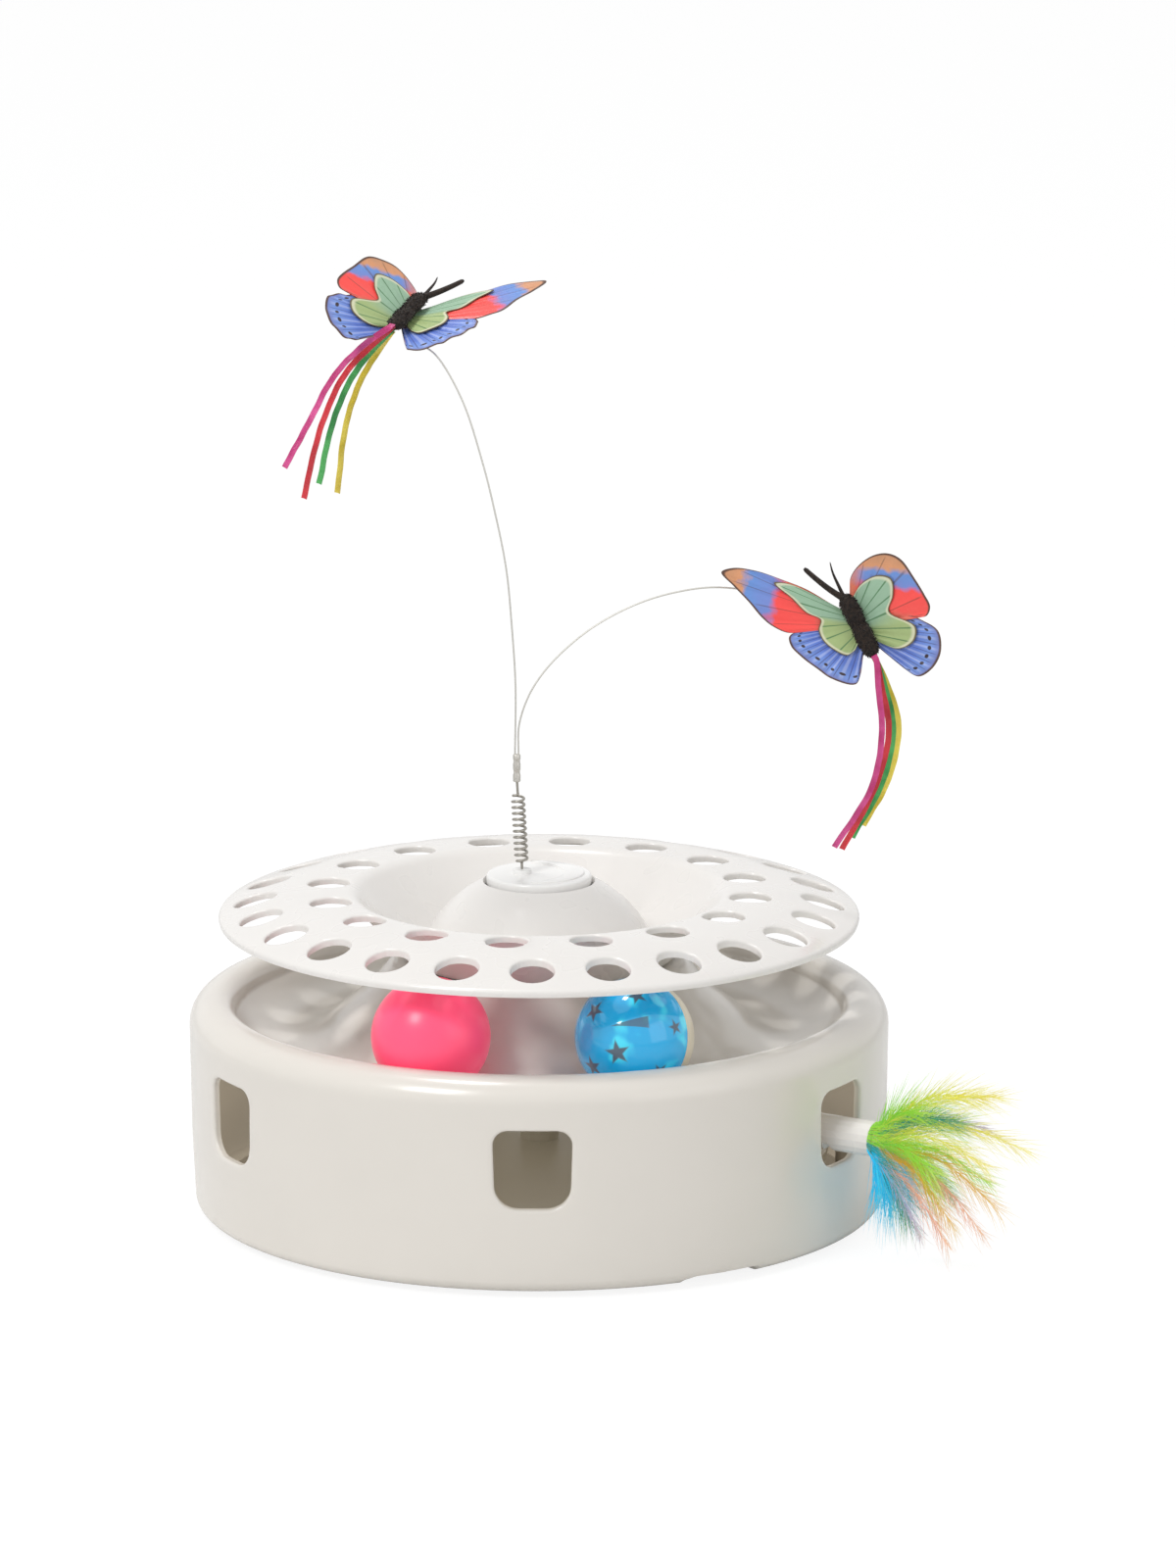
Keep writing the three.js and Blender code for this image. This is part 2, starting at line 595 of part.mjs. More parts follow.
function carouselPlate() {
  const saddles = SADDLE_REACHES.map((reach) =>
    out(block(SADDLE_LENGTH, SADDLE_WIDTH, carouselTop - 1, SADDLE_TOP), ROD_AT, reach));
  const boreLength = 2 * (SADDLE_REACHES[1] + SADDLE_LENGTH);
  const rodBore = cylinder(ROD_RADIUS + RUNNING + 0.1, -boreLength / 2, boreLength / 2, 14);
  rodBore.rotateY(Math.PI / 2).translate(0, 0, ROD_LEVEL);
  const cradle = block(6, 14, carouselTop - 1, carouselTop + 4);
  const cradles = [12, 24].map((side) =>
    out(cradle.clone().rotateZ(Math.PI / 2).translate(0, side, 0), ROD_AT, RACK_PINION_REACH));
  const motorRoom = cylinder(SLIDE_MOTOR_RADIUS + SEAT, 0, SLIDE_MOTOR_LENGTH + 20, 12);
  motorRoom.rotateX(-Math.PI / 2).translate(0, 4, rackPinionLevel);
  return cut(
    join(
      cylinder(carouselRadius, CAROUSEL_LEVEL, carouselTop, 32),
      gear(CAROUSEL_TEETH, CAROUSEL_MODULE, gearBottom, CAROUSEL_GEAR_HEIGHT + 0.5),
      cylinder(AXLE_RADIUS + 3.5, gearBottom, carouselBossTop, 12),
      ...saddles,
      ...cradles,
    ),
    out(rodBore, ROD_AT),
    out(motorRoom, ROD_AT, RACK_PINION_REACH),
    cylinder(AXLE_RADIUS + RUNNING, gearBottom - 1, carouselBossTop + 1, 12),
  );
}

// The rack pinion turns below the rod, on the slide motor's shaft
const rackPitchDrop = RACK_DROP - 0.9 * RACK_MODULE;
const rackPinionRadius = (RACK_PINION_TEETH * RACK_MODULE) / 2;
const rackPinionLevel = ROD_LEVEL - rackPitchDrop - rackPinionRadius;
part('carousel', carouselPlate(), innerPlastic());

const axle = join(
  cylinder(AXLE_RADIUS, 1.5, carouselBossTop + SEAT + 0.5, 16),
  cylinder(AXLE_HEAD_RADIUS, carouselBossTop + SEAT, carouselBossTop + SEAT + AXLE_HEAD_HEIGHT, 16),
);
part('carousel_axle', axle, steel());

const carouselMotorReach = ((CAROUSEL_TEETH + CAROUSEL_PINION_TEETH) * CAROUSEL_MODULE) / 2;
const shaftRadius = 1;

function flatMotor(bottom, top) {
  const can = cylinder(FLAT_MOTOR_RADIUS, bottom, top, 16);
  const collar = cylinder(3.5, top - 1, top + 0.4, 10);
  const shaftHole = cylinder(shaftRadius + SEAT, top - 5, top + 1, 8);
  return { can: join(can, collar), shaftHole };
}

function pinion(teeth, module, bottom, thickness, turn) {
  const shaft = cylinder(shaftRadius, bottom - 4.5, bottom + 0.5, 8);
  return join(gear(teeth, module, bottom, thickness, turn), shaft);
}

const carouselMotor = flatMotor(PLATE_THICKNESS + SEAT, gearBottom - 1.4);
part(
  'carousel_motor',
  out(cut(carouselMotor.can, carouselMotor.shaftHole), CAROUSEL_MOTOR_AT, carouselMotorReach),
  motorCase(),
);
// The pinion starts half a tooth out of line with the gear tooth that it meets
const carouselPinion = pinion(
  CAROUSEL_PINION_TEETH,
  CAROUSEL_MODULE,
  gearBottom,
  CAROUSEL_GEAR_HEIGHT - 1,
  Math.PI + Math.PI / CAROUSEL_PINION_TEETH,
);
part('carousel_pinion', out(carouselPinion, CAROUSEL_MOTOR_AT, carouselMotorReach), gearPlastic());

// Feather rod with a rack cut in its underside
function featherRod() {
  const rod = cylinder(ROD_RADIUS, ROD_INNER_END, ROD_OUTER_END, 16).rotateY(Math.PI / 2);
  const socket = cylinder(ROD_SOCKET_RADIUS, ROD_OUTER_END - ROD_SOCKET_DEPTH, ROD_OUTER_END + 1, 12);
  const pitch = Math.PI * RACK_MODULE;
  const depth = 2.1 * RACK_MODULE;
  const rackStart = RACK_PINION_REACH - 3.5 * pitch;
  const toothCount = Math.ceil(ROD_TRAVEL / pitch) + 6;
  const flat = block(toothCount * pitch, 2 * ROD_RADIUS, -ROD_RADIUS - 1, -RACK_DROP);
  flat.translate(rackStart + (toothCount * pitch) / 2, 0, 0);
  const wide = 0.4 * pitch + GEAR_PLAY / 2;
  const narrow = 0.18 * pitch + GEAR_PLAY / 2;
  const gaps = Array.from({ length: toothCount }, (_, i) => {
    const outline = new THREE.Shape([
      new THREE.Vector2(-wide, -1.5),
      new THREE.Vector2(wide, -1.5),
      new THREE.Vector2(wide, 0),
      new THREE.Vector2(narrow, depth),
      new THREE.Vector2(-narrow, depth),
      new THREE.Vector2(-wide, 0),
    ]);
    const gap = extrude(outline, 2 * ROD_RADIUS + 2).rotateX(Math.PI / 2);
    return gap.translate(rackStart + (i + 0.5) * pitch, ROD_RADIUS + 1, -RACK_DROP);
  });
  return cut(rod, socket.rotateY(Math.PI / 2), flat, ...gaps).translate(0, 0, ROD_LEVEL);
}
part('feather_rod', out(featherRod(), ROD_AT), coverPlastic());

function rackPinion() {
  const width = RACK_PINION_WIDTH;
  const wheel = gear(RACK_PINION_TEETH, RACK_MODULE, -width / 2, width, Math.PI / 2);
  const shaft = cylinder(shaftRadius, width / 2 - 0.5, width / 2 + 10, 10);
  return join(wheel, shaft).rotateX(-Math.PI / 2).translate(0, 0, rackPinionLevel);
}
part('rack_pinion', out(rackPinion(), ROD_AT, RACK_PINION_REACH), gearPlastic());

function slideMotor() {
  const front = 8;
  const can = cylinder(SLIDE_MOTOR_RADIUS, front, front + SLIDE_MOTOR_LENGTH, 20);
  const shaftHole = cylinder(shaftRadius + SEAT, front - 1, front + 4.5, 12);
  return cut(can, shaftHole).rotateX(-Math.PI / 2).translate(0, 0, rackPinionLevel);
}
part('slide_motor', out(slideMotor(), ROD_AT, RACK_PINION_REACH), motorCase());

const plugFront = ROD_OUTER_END - 0.5;
const plug = ring(
  ROD_SOCKET_RADIUS - SEAT,
  TUFT_ROOT_RADIUS + 0.2,
  ROD_OUTER_END - ROD_SOCKET_DEPTH + SEAT,
  plugFront,
  14,
).rotateY(Math.PI / 2).translate(0, 0, ROD_LEVEL);
part('feather_plug', out(plug, ROD_AT), innerPlastic());

// Feather tuft: drooping plumes from one root
function plume(angle, length, sway) {
  const lift = radians(angle);
  const side = radians(sway);
  const rings = 4;
  const sides = 5;
  const along = point(Math.cos(lift) * Math.cos(side), Math.sin(side), Math.sin(lift) * Math.cos(side));
  const across = point(-Math.sin(side), Math.cos(side), 0);
  const up = along.clone().cross(across);
  const positions = [];
  for (let i = 0; i <= rings; i += 1) {
    const share = i / rings;
    const swell = Math.sin(Math.PI * (0.12 + 0.8 * share)) ** 0.8;
    const centre = along.clone().multiplyScalar(length * share);
    centre.z -= 4 * share * share;
    for (let j = 0; j < sides; j += 1) {
      const turn = (2 * Math.PI * j) / sides;
      const corner = centre.clone()
        .addScaledVector(across, PLUME_WIDTH * swell * Math.cos(turn))
        .addScaledVector(up, PLUME_WIDTH * 0.75 * swell * Math.sin(turn));
      positions.push(corner.x, corner.y, corner.z);
    }
  }
  return closedTube(positions, rings + 1, sides);
}

// A closed skin over rings of points, each ring with the same number of sides
function closedTube(positions, ringCount, sides) {
  const index = [];
  for (let i = 0; i < ringCount - 1; i += 1) {
    for (let j = 0; j < sides; j += 1) {
      const a = i * sides + j;
      const b = i * sides + ((j + 1) % sides);
      index.push(a, b, a + sides, b, b + sides, a + sides);
    }
  }
  const last = (ringCount - 1) * sides;
  for (let j = 1; j < sides - 1; j += 1) {
    index.push(0, j + 1, j);
    index.push(last, last + j, last + j + 1);
  }
  const geometry = new THREE.BufferGeometry();
  geometry.setAttribute('position', new THREE.Float32BufferAttribute(positions, 3));
  geometry.setIndex(index);
  return geometry;
}

function featherTuft() {
  const plumes = Array.from({ length: PLUME_COUNT }, (_, i) => {
    const share = i / (PLUME_COUNT - 1);
    const angle = lerp(PLUME_TOP_ANGLE, PLUME_BOTTOM_ANGLE, share);
    const length = lerp(PLUME_TOP_LENGTH, PLUME_BOTTOM_LENGTH, share ** 3);
    const sway = PLUME_SWAY * [0.4, -1, 1, -0.5, 0.7, -0.9, 0.3, 0][i % 8];
    return plume(angle, length, sway);
  });
  const root = cylinder(TUFT_ROOT_RADIUS, -6, 1, 12).rotateY(Math.PI / 2);
  const knot = new THREE.SphereGeometry(3.6, 12, 8);
  const rear = block(20, 40, -30, 30).translate(-10.2, 0, 0);
  const fan = cut(join(knot, ...plumes).translate(1.5, 0, 0), rear);
  return join(fan, root).translate(ROD_OUTER_END + SEAT, 0, ROD_LEVEL);
}
part('feather_tuft', out(featherTuft(), ROD_AT), material('#8fd64a', 0.9));

// Track cover: brim, holes, funnel and dome in one moulding, on three pegs
function coverProfile() {
  const edge = COVER_EDGE_HEIGHT;
  const outer = [
    [COVER_RADIUS - 0.4, edge - 0.9],
    [COVER_RADIUS, edge + 0.5],
    [COVER_RADIUS - 1.2, edge + 1.8],
    [OUTER_HOLE_CIRCLE + OUTER_HOLE_RADIUS + 0.8, edge + 3],
    [OUTER_HOLE_CIRCLE - OUTER_HOLE_RADIUS - 0.5, edge + 7.8],
    [INNER_HOLE_CIRCLE + INNER_HOLE_RADIUS + 0.5, edge + 9.2],
    [INNER_HOLE_CIRCLE - INNER_HOLE_RADIUS - 0.4, edge + 9.3],
    [61, edge + 7.2],
    [56, edge + 2.4],
    [51, edge - 3.8],
    [47, edge - 8.6],
    [PEG_CIRCLE, HUB_TOP + SEAT + COVER_WALL],
    [40, HUB_TOP + 4.6],
    [37.2, edge - 4],
    [33.5, edge + 1.5],
    [29, edge + 6.4],
    [24, edge + 10.2],
    [DOME_MOUTH_RADIUS, DOME_MOUTH_HEIGHT],
  ];
  return skin(outer, COVER_WALL, 1);
}

function trackCover() {
  const holes = (count, firstAt, radius, circle) => spread(count, firstAt, (azimuth) =>
    out(cylinder(radius, COVER_EDGE_HEIGHT - 4, COVER_EDGE_HEIGHT + 14, HOLE_SIDES), azimuth, circle));
  const pegs = spread(PEG_COUNT, PEG_FIRST_AT, (azimuth) =>
    out(cylinder(PEG_RADIUS, HUB_TOP - PEG_LENGTH, HUB_TOP + 1.6, 8), azimuth, PEG_CIRCLE));
  const pegBores = spread(PEG_COUNT, PEG_FIRST_AT, (azimuth) =>
    out(cylinder(1.2 + SEAT, HUB_TOP - PEG_LENGTH - 1, HUB_TOP + 1, 6), azimuth, PEG_CIRCLE));
  return cut(
    join(revolve(coverProfile()), ...pegs),
    ...pegBores,
    ...holes(OUTER_HOLE_COUNT, OUTER_HOLE_FIRST_AT, OUTER_HOLE_RADIUS, OUTER_HOLE_CIRCLE),
    ...holes(INNER_HOLE_COUNT, INNER_HOLE_FIRST_AT, INNER_HOLE_RADIUS, INNER_HOLE_CIRCLE),
  );
}
part('track_cover', trackCover(), coverPlastic());

spread(PEG_COUNT, PEG_FIRST_AT, (azimuth, i) => {
  const level = HUB_TOP - PEG_LENGTH - SEAT;
  const coverScrew = screw(1.2, 4.6, 1.4, 8).translate(0, 0, level - 1.4);
  part(`cover_screw_${i + 1}`, out(coverScrew, azimuth, PEG_CIRCLE), steel());
});

// Lure drive: motor under the hub's roof, gears, and a spindle in a flanged bush
const lureMotorReach = ((LURE_GEAR_TEETH + LURE_PINION_TEETH) * LURE_MODULE) / 2;
const lureMotorTop = LURE_GEAR_LEVEL - 1.4;
const lureMotor = flatMotor(lureMotorTop - LURE_MOTOR_HEIGHT, lureMotorTop);
const earBar = block(6.4, 2 * EAR_REACH, lureMotorTop - EAR_THICKNESS, lureMotorTop + 0.4);
const ears = [-EAR_REACH, EAR_REACH].map((side) =>
  cylinder(EAR_RADIUS, lureMotorTop - EAR_THICKNESS, lureMotorTop + 0.4, 12).translate(0, side, 0));
part(
  'lure_motor',
  out(cut(join(lureMotor.can, earBar, ...ears), lureMotor.shaftHole), LURE_MOTOR_AT, lureMotorReach),
  motorCase(),
);
const lurePinion = pinion(
  LURE_PINION_TEETH,
  LURE_MODULE,
  LURE_GEAR_LEVEL,
  LURE_GEAR_THICKNESS,
  Math.PI + Math.PI / LURE_PINION_TEETH,
);
part('lure_pinion', out(lurePinion, LURE_MOTOR_AT, lureMotorReach), gearPlastic());

const spindleGear = cut(
  join(
    gear(LURE_GEAR_TEETH, LURE_MODULE, LURE_GEAR_LEVEL, LURE_GEAR_THICKNESS),
    cylinder(5, LURE_GEAR_LEVEL - 3, LURE_GEAR_LEVEL + LURE_GEAR_THICKNESS + 1.5, 12),
  ),
  cylinder(SPINDLE_RADIUS + SEAT, LURE_GEAR_LEVEL - 4, HUB_TOP, 12),
);
part('spindle_gear', out(spindleGear, LURE_MOTOR_AT), gearPlastic());

const towerTop = HUB_TOP + TOWER_HEIGHT;
const turntableUnderside = TURNTABLE_TOP - TURNTABLE_THICKNESS;
const spindleTop = TURNTABLE_TOP - 1.4;
part('spindle', cylinder(SPINDLE_RADIUS, SPINDLE_FOOT, spindleTop, 12), steel());

const bush = cut(
  join(
    cylinder(SPINDLE_RADIUS + RUNNING + BUSH_WALL, HUB_TOP - DRUM_WALL, towerTop + 1, 12),
    cylinder(TOWER_RADIUS - 0.5, towerTop + SEAT, towerTop + SEAT + 1.5, 12),
  ),
  cylinder(SPINDLE_RADIUS + RUNNING, HUB_TOP - DRUM_WALL - 1, towerTop + 4, 12),
);
part('spindle_bush', bush, material('#b08d4a', 0.4, 0.8));

function turntable() {
  const edge = 1;
  const top = TURNTABLE_TOP;
  const disc = revolve([
    [0.01, turntableUnderside],
    [TURNTABLE_RADIUS - edge, turntableUnderside],
    [TURNTABLE_RADIUS, turntableUnderside + edge],
    [TURNTABLE_RADIUS, top - edge],
    [TURNTABLE_RADIUS - edge, top],
    [0.01, top],
  ], 24);
  const core = cylinder(1, turntableUnderside, top, 6);
  const step = extrude(crescent(), 1).translate(0, 0, top - 0.3);
  const bossBottom = towerTop + SEAT + 1.5 + SEAT;
  const springBoss = cylinder(SPRING_BOSS_RADIUS, top - 0.5, top + SPRING_BOSS_HEIGHT, 12);
  return cut(
    join(
      disc,
      core,
      step,
      cylinder(5.5, bossBottom, top - 1, 12),
      springBoss.translate(SPRING_X, 0, 0),
    ),
    cylinder(SPINDLE_RADIUS + SEAT, bossBottom - 1, spindleTop + SEAT, 12),
    cylinder(SPRING_WIRE_RADIUS + SEAT, top - 1.2, top + 4, 8).translate(SPRING_X, 0, 0),
  );
}

// Raised half-moon on the turntable, open towards the spring
function crescent() {
  const shape = new THREE.Shape();
  shape.absarc(0, 0, 15.5, radians(-100), radians(100), false);
  shape.absarc(-7, 0, 15.6, radians(78), radians(-78), true);
  return shape;
}
part('turntable', turntable(), coverPlastic());

// Lure spring: straight tails on its axis, and curls of eight steps between them
function springPath() {
  const height = springHead - springFoot;
  const stepsPerTurn = 8;
  const taper = 6;
  const steps = SPRING_TURNS * stepsPerTurn;
  const pitch = (height - 2 * SPRING_TAIL) / (SPRING_TURNS + 0.2);
  const path = [point(0, 0, -SPRING_TAIL), point(0, 0, -SPRING_TAIL / 2)];
  for (let i = 0; i <= steps; i += 1) {
    const fromEnd = Math.min(i, steps - i) / taper;
    const ease = fromEnd >= 1 ? 1 : (1 - Math.cos(Math.PI * fromEnd)) / 2;
    const radius = SPRING_COIL_RADIUS * ease;
    const angle = (2 * Math.PI * i) / stepsPerTurn;
    const z = SPRING_TAIL + (pitch * (i / steps) * (SPRING_TURNS + 0.2)) + 0.001;
    path.push(point(radius * Math.cos(angle), radius * Math.sin(angle), z - SPRING_TAIL / 2));
  }
  path.push(point(0, 0, height - SPRING_TAIL / 2), point(0, 0, height + SPRING_TAIL));
  return path.map((p) => point(SPRING_X + p.x + (SPRING_LEAN * p.z) / height, p.y, springFoot + p.z));
}

function tangentAt(path, i) {
  const before = path[Math.max(i - 1, 0)];
  const after = path[Math.min(i + 1, path.length - 1)];
  return after.clone().sub(before).normalize();
}

function wireTube(path, radius, sides) {
  const positions = [];
  let side = point(1, 0, 0);
  path.forEach((centre, i) => {
    const along = tangentAt(path, i);
    side = side.addScaledVector(along, -side.dot(along)).normalize();
    const across = along.clone().cross(side);
    for (let j = 0; j < sides; j += 1) {
      const turn = (2 * Math.PI * j) / sides;
      const corner = centre.clone()
        .addScaledVector(side, radius * Math.cos(turn))
        .addScaledVector(across, radius * Math.sin(turn));
      positions.push(corner.x, corner.y, corner.z);
    }
  });
  return closedTube(positions, path.length, sides);
}

// The least gap between two stretches of the tube that are more than half a curl apart
function leastGap(path, radius, apart) {
  let least = Infinity;
  path.forEach((p, i) => {
    path.slice(i + apart).forEach((q) => {
      least = Math.min(least, p.distanceTo(q) - 2 * radius);
    });
  });
  return least;
}

const springCurve = springPath();
part('lure_spring', wireTube(springCurve, SPRING_WIRE_RADIUS, 5), steel());
console.log(`lure spring: least gap ${leastGap(springCurve, SPRING_WIRE_RADIUS, 5).toFixed(2)} mm`);

const ferruleX = SPRING_X + SPRING_LEAN * (1 + SPRING_TAIL / (springHead - springFoot));
const ferruleBottom = springHead + 0.6;
const ferruleTop = ferruleBottom + FERRULE_LENGTH;
const wireBore = LURE_WIRE_RADIUS + 0.2;
const wireStart = ferruleTop - 3;
const ferrule = cut(
  cylinder(FERRULE_RADIUS, ferruleBottom, ferruleTop, 12),
  cylinder(SPRING_WIRE_RADIUS + SEAT, ferruleBottom - 1, ferruleBottom + 2.6, 8),
  cylinder(wireBore, wireStart - SEAT, ferruleTop + 1, 8).translate(-LURE_WIRE_SPREAD, 0, 0),
  cylinder(wireBore, wireStart - SEAT, ferruleTop + 1, 8).translate(LURE_WIRE_SPREAD, 0, 0),
).translate(ferruleX, 0, 0);
part('wire_ferrule', ferrule, material('#c9c6c0', 0.35, 0.7));

// Butterfly outlines in the plane of the wings: [across, up] from the middle of the body
const FORE_SHORT = [
  [3, 11.3], [2.7, 16.5], [-0.2, 20.7], [-5.1, 23.7], [-9.7, 24.1], [-13.9, 22], [-18.5, 15.6],
  [-21.8, 10.1], [-23.8, 5.8], [-22.6, 2.8], [-17.7, 2.8], [-10.8, 4.6],
];
const HIND_SHORT = [
  [-9, 3.5], [-17, 3.2], [-21.8, 1.1], [-26.5, -2.3], [-27.5, -9.1], [-24.9, -14.6],
  [-20.3, -17.4], [-15.9, -15], [-7.9, -7.8],
];
const FORE_LONG = [
  [9.3, 7.5], [18.1, 12.6], [25.8, 15.6], [34.8, 18.6], [42.6, 19.6], [46.7, 18.1],
  [42.6, 13.5], [37.4, 8], [33, 2.8], [29.2, -0.3], [23.7, -2.5], [15.5, -1],
];
const HIND_LONG = [
  [15.5, -1], [22, -2.4], [23.7, -3.9], [23, -7], [19.3, -10.8], [13.7, -15], [9.3, -18],
  [1.1, -19.9], [-0.7, -16.3], [-1.2, -11.2],
];
const TOP_SHORT = [
  [1.9, 10.1], [-0.9, 14.3], [-6.1, 16.9], [-10.8, 15.6], [-11.5, 10.1], [-10.2, 4.6],
  [-19, -0.6], [-18.7, -5.2], [-14.9, -7.8], [-10.8, -7.4], [-7.4, -4.8],
];
const TOP_LONG = [
  [9.1, 7.2], [18.1, 12], [24.6, 14.5], [28.9, 14.5], [23.2, 9.6], [18.1, 4.6], [13.1, 2],
  [13.7, -1.4], [12.1, -5.2], [7.8, -8.7], [3.9, -10.1], [1.1, -8.2],
];

function lobe(points, root, mirror) {
  const shape = new THREE.Shape();
  const flip = ([x, y]) => new THREE.Vector2(x * mirror, y);
  const rim = points.map(flip);
  const start = flip(root);
  shape.moveTo(start.x, start.y);
  shape.lineTo(rim[0].x, rim[0].y);
  shape.splineThru(rim.slice(1));
  shape.closePath();
  return extrude(shape, WING_SHEET, 1);
}

// Folds a flat sheet up on each side of the body, leaving a flat strip under the body
function fold(sheet, mirror) {
  const lean = radians(-BODY_LEAN) * mirror;
  const size = 120;
  const strip = block(2 * FOLD_LINE, size, -2, 4).rotateZ(lean);
  const parts = [common(sheet, strip)];
  [[1, LONG_SIDE_SLOPE], [-1, SHORT_SIDE_SLOPE]].forEach(([side, slope]) => {
    const facing = side * mirror;
    const half = block(size, size, -2, 4).translate(facing * (size / 2 + FOLD_LINE - 0.05), 0, 0);
    const flank = common(sheet, half.rotateZ(lean));
    const across = point(Math.cos(lean), Math.sin(lean), 0).multiplyScalar(facing * slope);
    const shear = new THREE.Matrix4().set(
      1, 0, 0, 0,
      0, 1, 0, 0,
      across.x, across.y, 1, -slope * FOLD_LINE,
      0, 0, 0, 1,
    );
    parts.push(flank.applyMatrix4(shear));
  });
  return join(...parts);
}

function lureBody(mirror) {
  const half = BODY_WIDTH / 2;
  const long = BODY_LENGTH / 2;
  const shape = new THREE.Shape();
  shape.moveTo(-half * 0.7, -long);
  shape.lineTo(half * 0.7, -long);
  shape.quadraticCurveTo(half * 1.1, -long * 0.3, half * 0.8, 0);
  shape.quadraticCurveTo(half * 1.2, long * 0.5, half * 0.6, long);
  shape.lineTo(-half * 0.6, long);
  shape.quadraticCurveTo(-half * 1.2, long * 0.5, -half * 0.8, 0);
  shape.quadraticCurveTo(-half * 1.1, -long * 0.3, -half * 0.7, -long);
  const trunk = extrude(shape, BODY_THICKNESS, 2).rotateZ(radians(-BODY_LEAN) * mirror);
  const feeler = (fromX, fromY, toX, toY, width) => {
    const run = new THREE.Vector2(toX - fromX, toY - fromY);
    const bar = block(width, run.length() + 2, 1, 2.6).translate(0, run.length() / 2 - 1, 0);
    return bar.rotateZ(-Math.atan2(run.x * mirror, run.y)).translate(fromX * mirror, fromY, 0);
  };
  return join(trunk, feeler(5, 9.5, 9.8, 21.5, 1.5), feeler(5.5, 9.5, 18.6, 19.4, 2));
}

const sheetGap = WING_SHEET + SEAT;
const bodyLift = 2 * sheetGap;

function butterfly(side, mirror, place, finish) {
  const hole = cylinder(wireBore, -5, 3.2, 10);
  const print = cut(fold(join(
    lobe(FORE_SHORT, [3, -1], mirror),
    lobe(HIND_SHORT, [2, 0], mirror),
    lobe(FORE_LONG, [-2, 0], mirror),
    lobe(HIND_LONG, [-3, 1], mirror),
  ), mirror), hole);
  const cover = cut(fold(join(
    lobe(TOP_SHORT, [3, -1], mirror),
    lobe(TOP_LONG, [-3, 1], mirror),
  ).translate(0, 0, sheetGap), mirror), hole);
  const trunk = cut(lureBody(mirror).translate(0, 0, bodyLift), hole);
  const pieces = { wings: print, top_wings: cover, body: trunk };
  Object.entries(pieces).forEach(([name, shape]) => {
    part(`${side}_butterfly_${name}`, shape.applyMatrix4(place), finish[name]());
  });
}

// The wings' plane: tilted back from upright by the angle given, facing the front
function lurePlace(x, z, tilt) {
  const turn = new THREE.Matrix4().makeRotationX(radians(90 - tilt));
  return new THREE.Matrix4().makeTranslation(x, 0, z).multiply(turn);
}

const lureFinish = {
  wings: () => material('#6f86cc', 0.35),
  top_wings: () => material('#a8c89b', 0.5, 0, { transparent: true, opacity: 0.9 }),
  body: () => material('#2c241b', 0.95),
};
const LEFT_LURE = { x: -43.9, z: 306.6, tilt: 67.7 };
const RIGHT_LURE = { x: 108.7, z: 201.3, tilt: 15 };
butterfly('left', 1, lurePlace(LEFT_LURE.x, LEFT_LURE.z, LEFT_LURE.tilt), lureFinish);
butterfly('right', -1, lurePlace(RIGHT_LURE.x, RIGHT_LURE.z, RIGHT_LURE.tilt), lureFinish);

// Lure wires: spring steel, from the ferrule to the underside of each body
function underBody(lure, drop) {
  const tilt = radians(lure.tilt);
  const away = point(0, Math.cos(tilt), -Math.sin(tilt));
  return point(lure.x, 0, lure.z).addScaledVector(away, drop);
}

function along(points, steps, sides, radius) {
  const extrudePath = new THREE.CatmullRomCurve3(points, false, 'centripetal');
  const section = new THREE.Shape();
  section.absarc(0, 0, radius, 0, 2 * Math.PI, false);
  return new THREE.ExtrudeGeometry(section, {
    steps,
    extrudePath,
    bevelEnabled: false,
    curveSegments: sides / 2,
  });
}

const wireTip = -(bodyLift + 1);
const leftWire = [
  point(ferruleX - LURE_WIRE_SPREAD, 0, wireStart),
  point(ferruleX - LURE_WIRE_SPREAD, 0, ferruleTop + 1),
  point(-7.9, 0, 180.5),
  point(-9.1, 0, 200.9),
  point(-11, 0, 221.3),
  point(-15, 0, 241.9),
  point(-18.9, 0, 257.9),
  point(-25.9, 0, 279.8),
  point(-34.7, 1, 294.8),
  point(-41.5, 3, 299.2),
  underBody(LEFT_LURE, 4),
  underBody(LEFT_LURE, wireTip),
];
const rightWire = [
  point(ferruleX + LURE_WIRE_SPREAD, 0, wireStart),
  point(ferruleX + LURE_WIRE_SPREAD, 0, ferruleTop + 1),
  point(-6.7, 0, 166.9),
  point(-3.4, 0, 177.1),
  point(1.9, 0, 185.6),
  point(9.9, 0, 194.1),
  point(19.9, 0, 201.9),
  point(33.2, 1, 208.7),
  point(46.4, 3, 212.4),
  point(61.4, 6, 213.5),
  point(85, 8.5, 209),
  point(103, 8, 202.3),
  underBody(RIGHT_LURE, 4),
  underBody(RIGHT_LURE, wireTip),
];
part('left_lure_wire', along(leftWire, 24, 6, LURE_WIRE_RADIUS), steel());
part('right_lure_wire', along(rightWire, 28, 6, LURE_WIRE_RADIUS), steel());

// Ribbon tails: strips stacked on the end of the body, the last one lowest, that fan out as they
// fall. Their lower stops are world places.
function ribbon(root, stops, side) {
  const curve = new THREE.CatmullRomCurve3(stops, false, 'centripetal');
  const path = [root, ...curve.getPoints(RIBBON_STEPS * (stops.length - 1))];
  const positions = [];
  path.forEach((centre, i) => {
    const run = tangentAt(path, i);
    const wide = side.clone().addScaledVector(run, -side.dot(run)).normalize();
    const thick = run.clone().cross(wide);
    [[-1, -1], [1, -1], [1, 1], [-1, 1]].forEach(([across, up]) => {
      const corner = centre.clone()
        .addScaledVector(wide, (across * RIBBON_WIDTH) / 2)
        .addScaledVector(thick, (up * RIBBON_THICKNESS) / 2);
      positions.push(...corner.toArray());
    });
  });
  return closedTube(positions, path.length, 4);
}

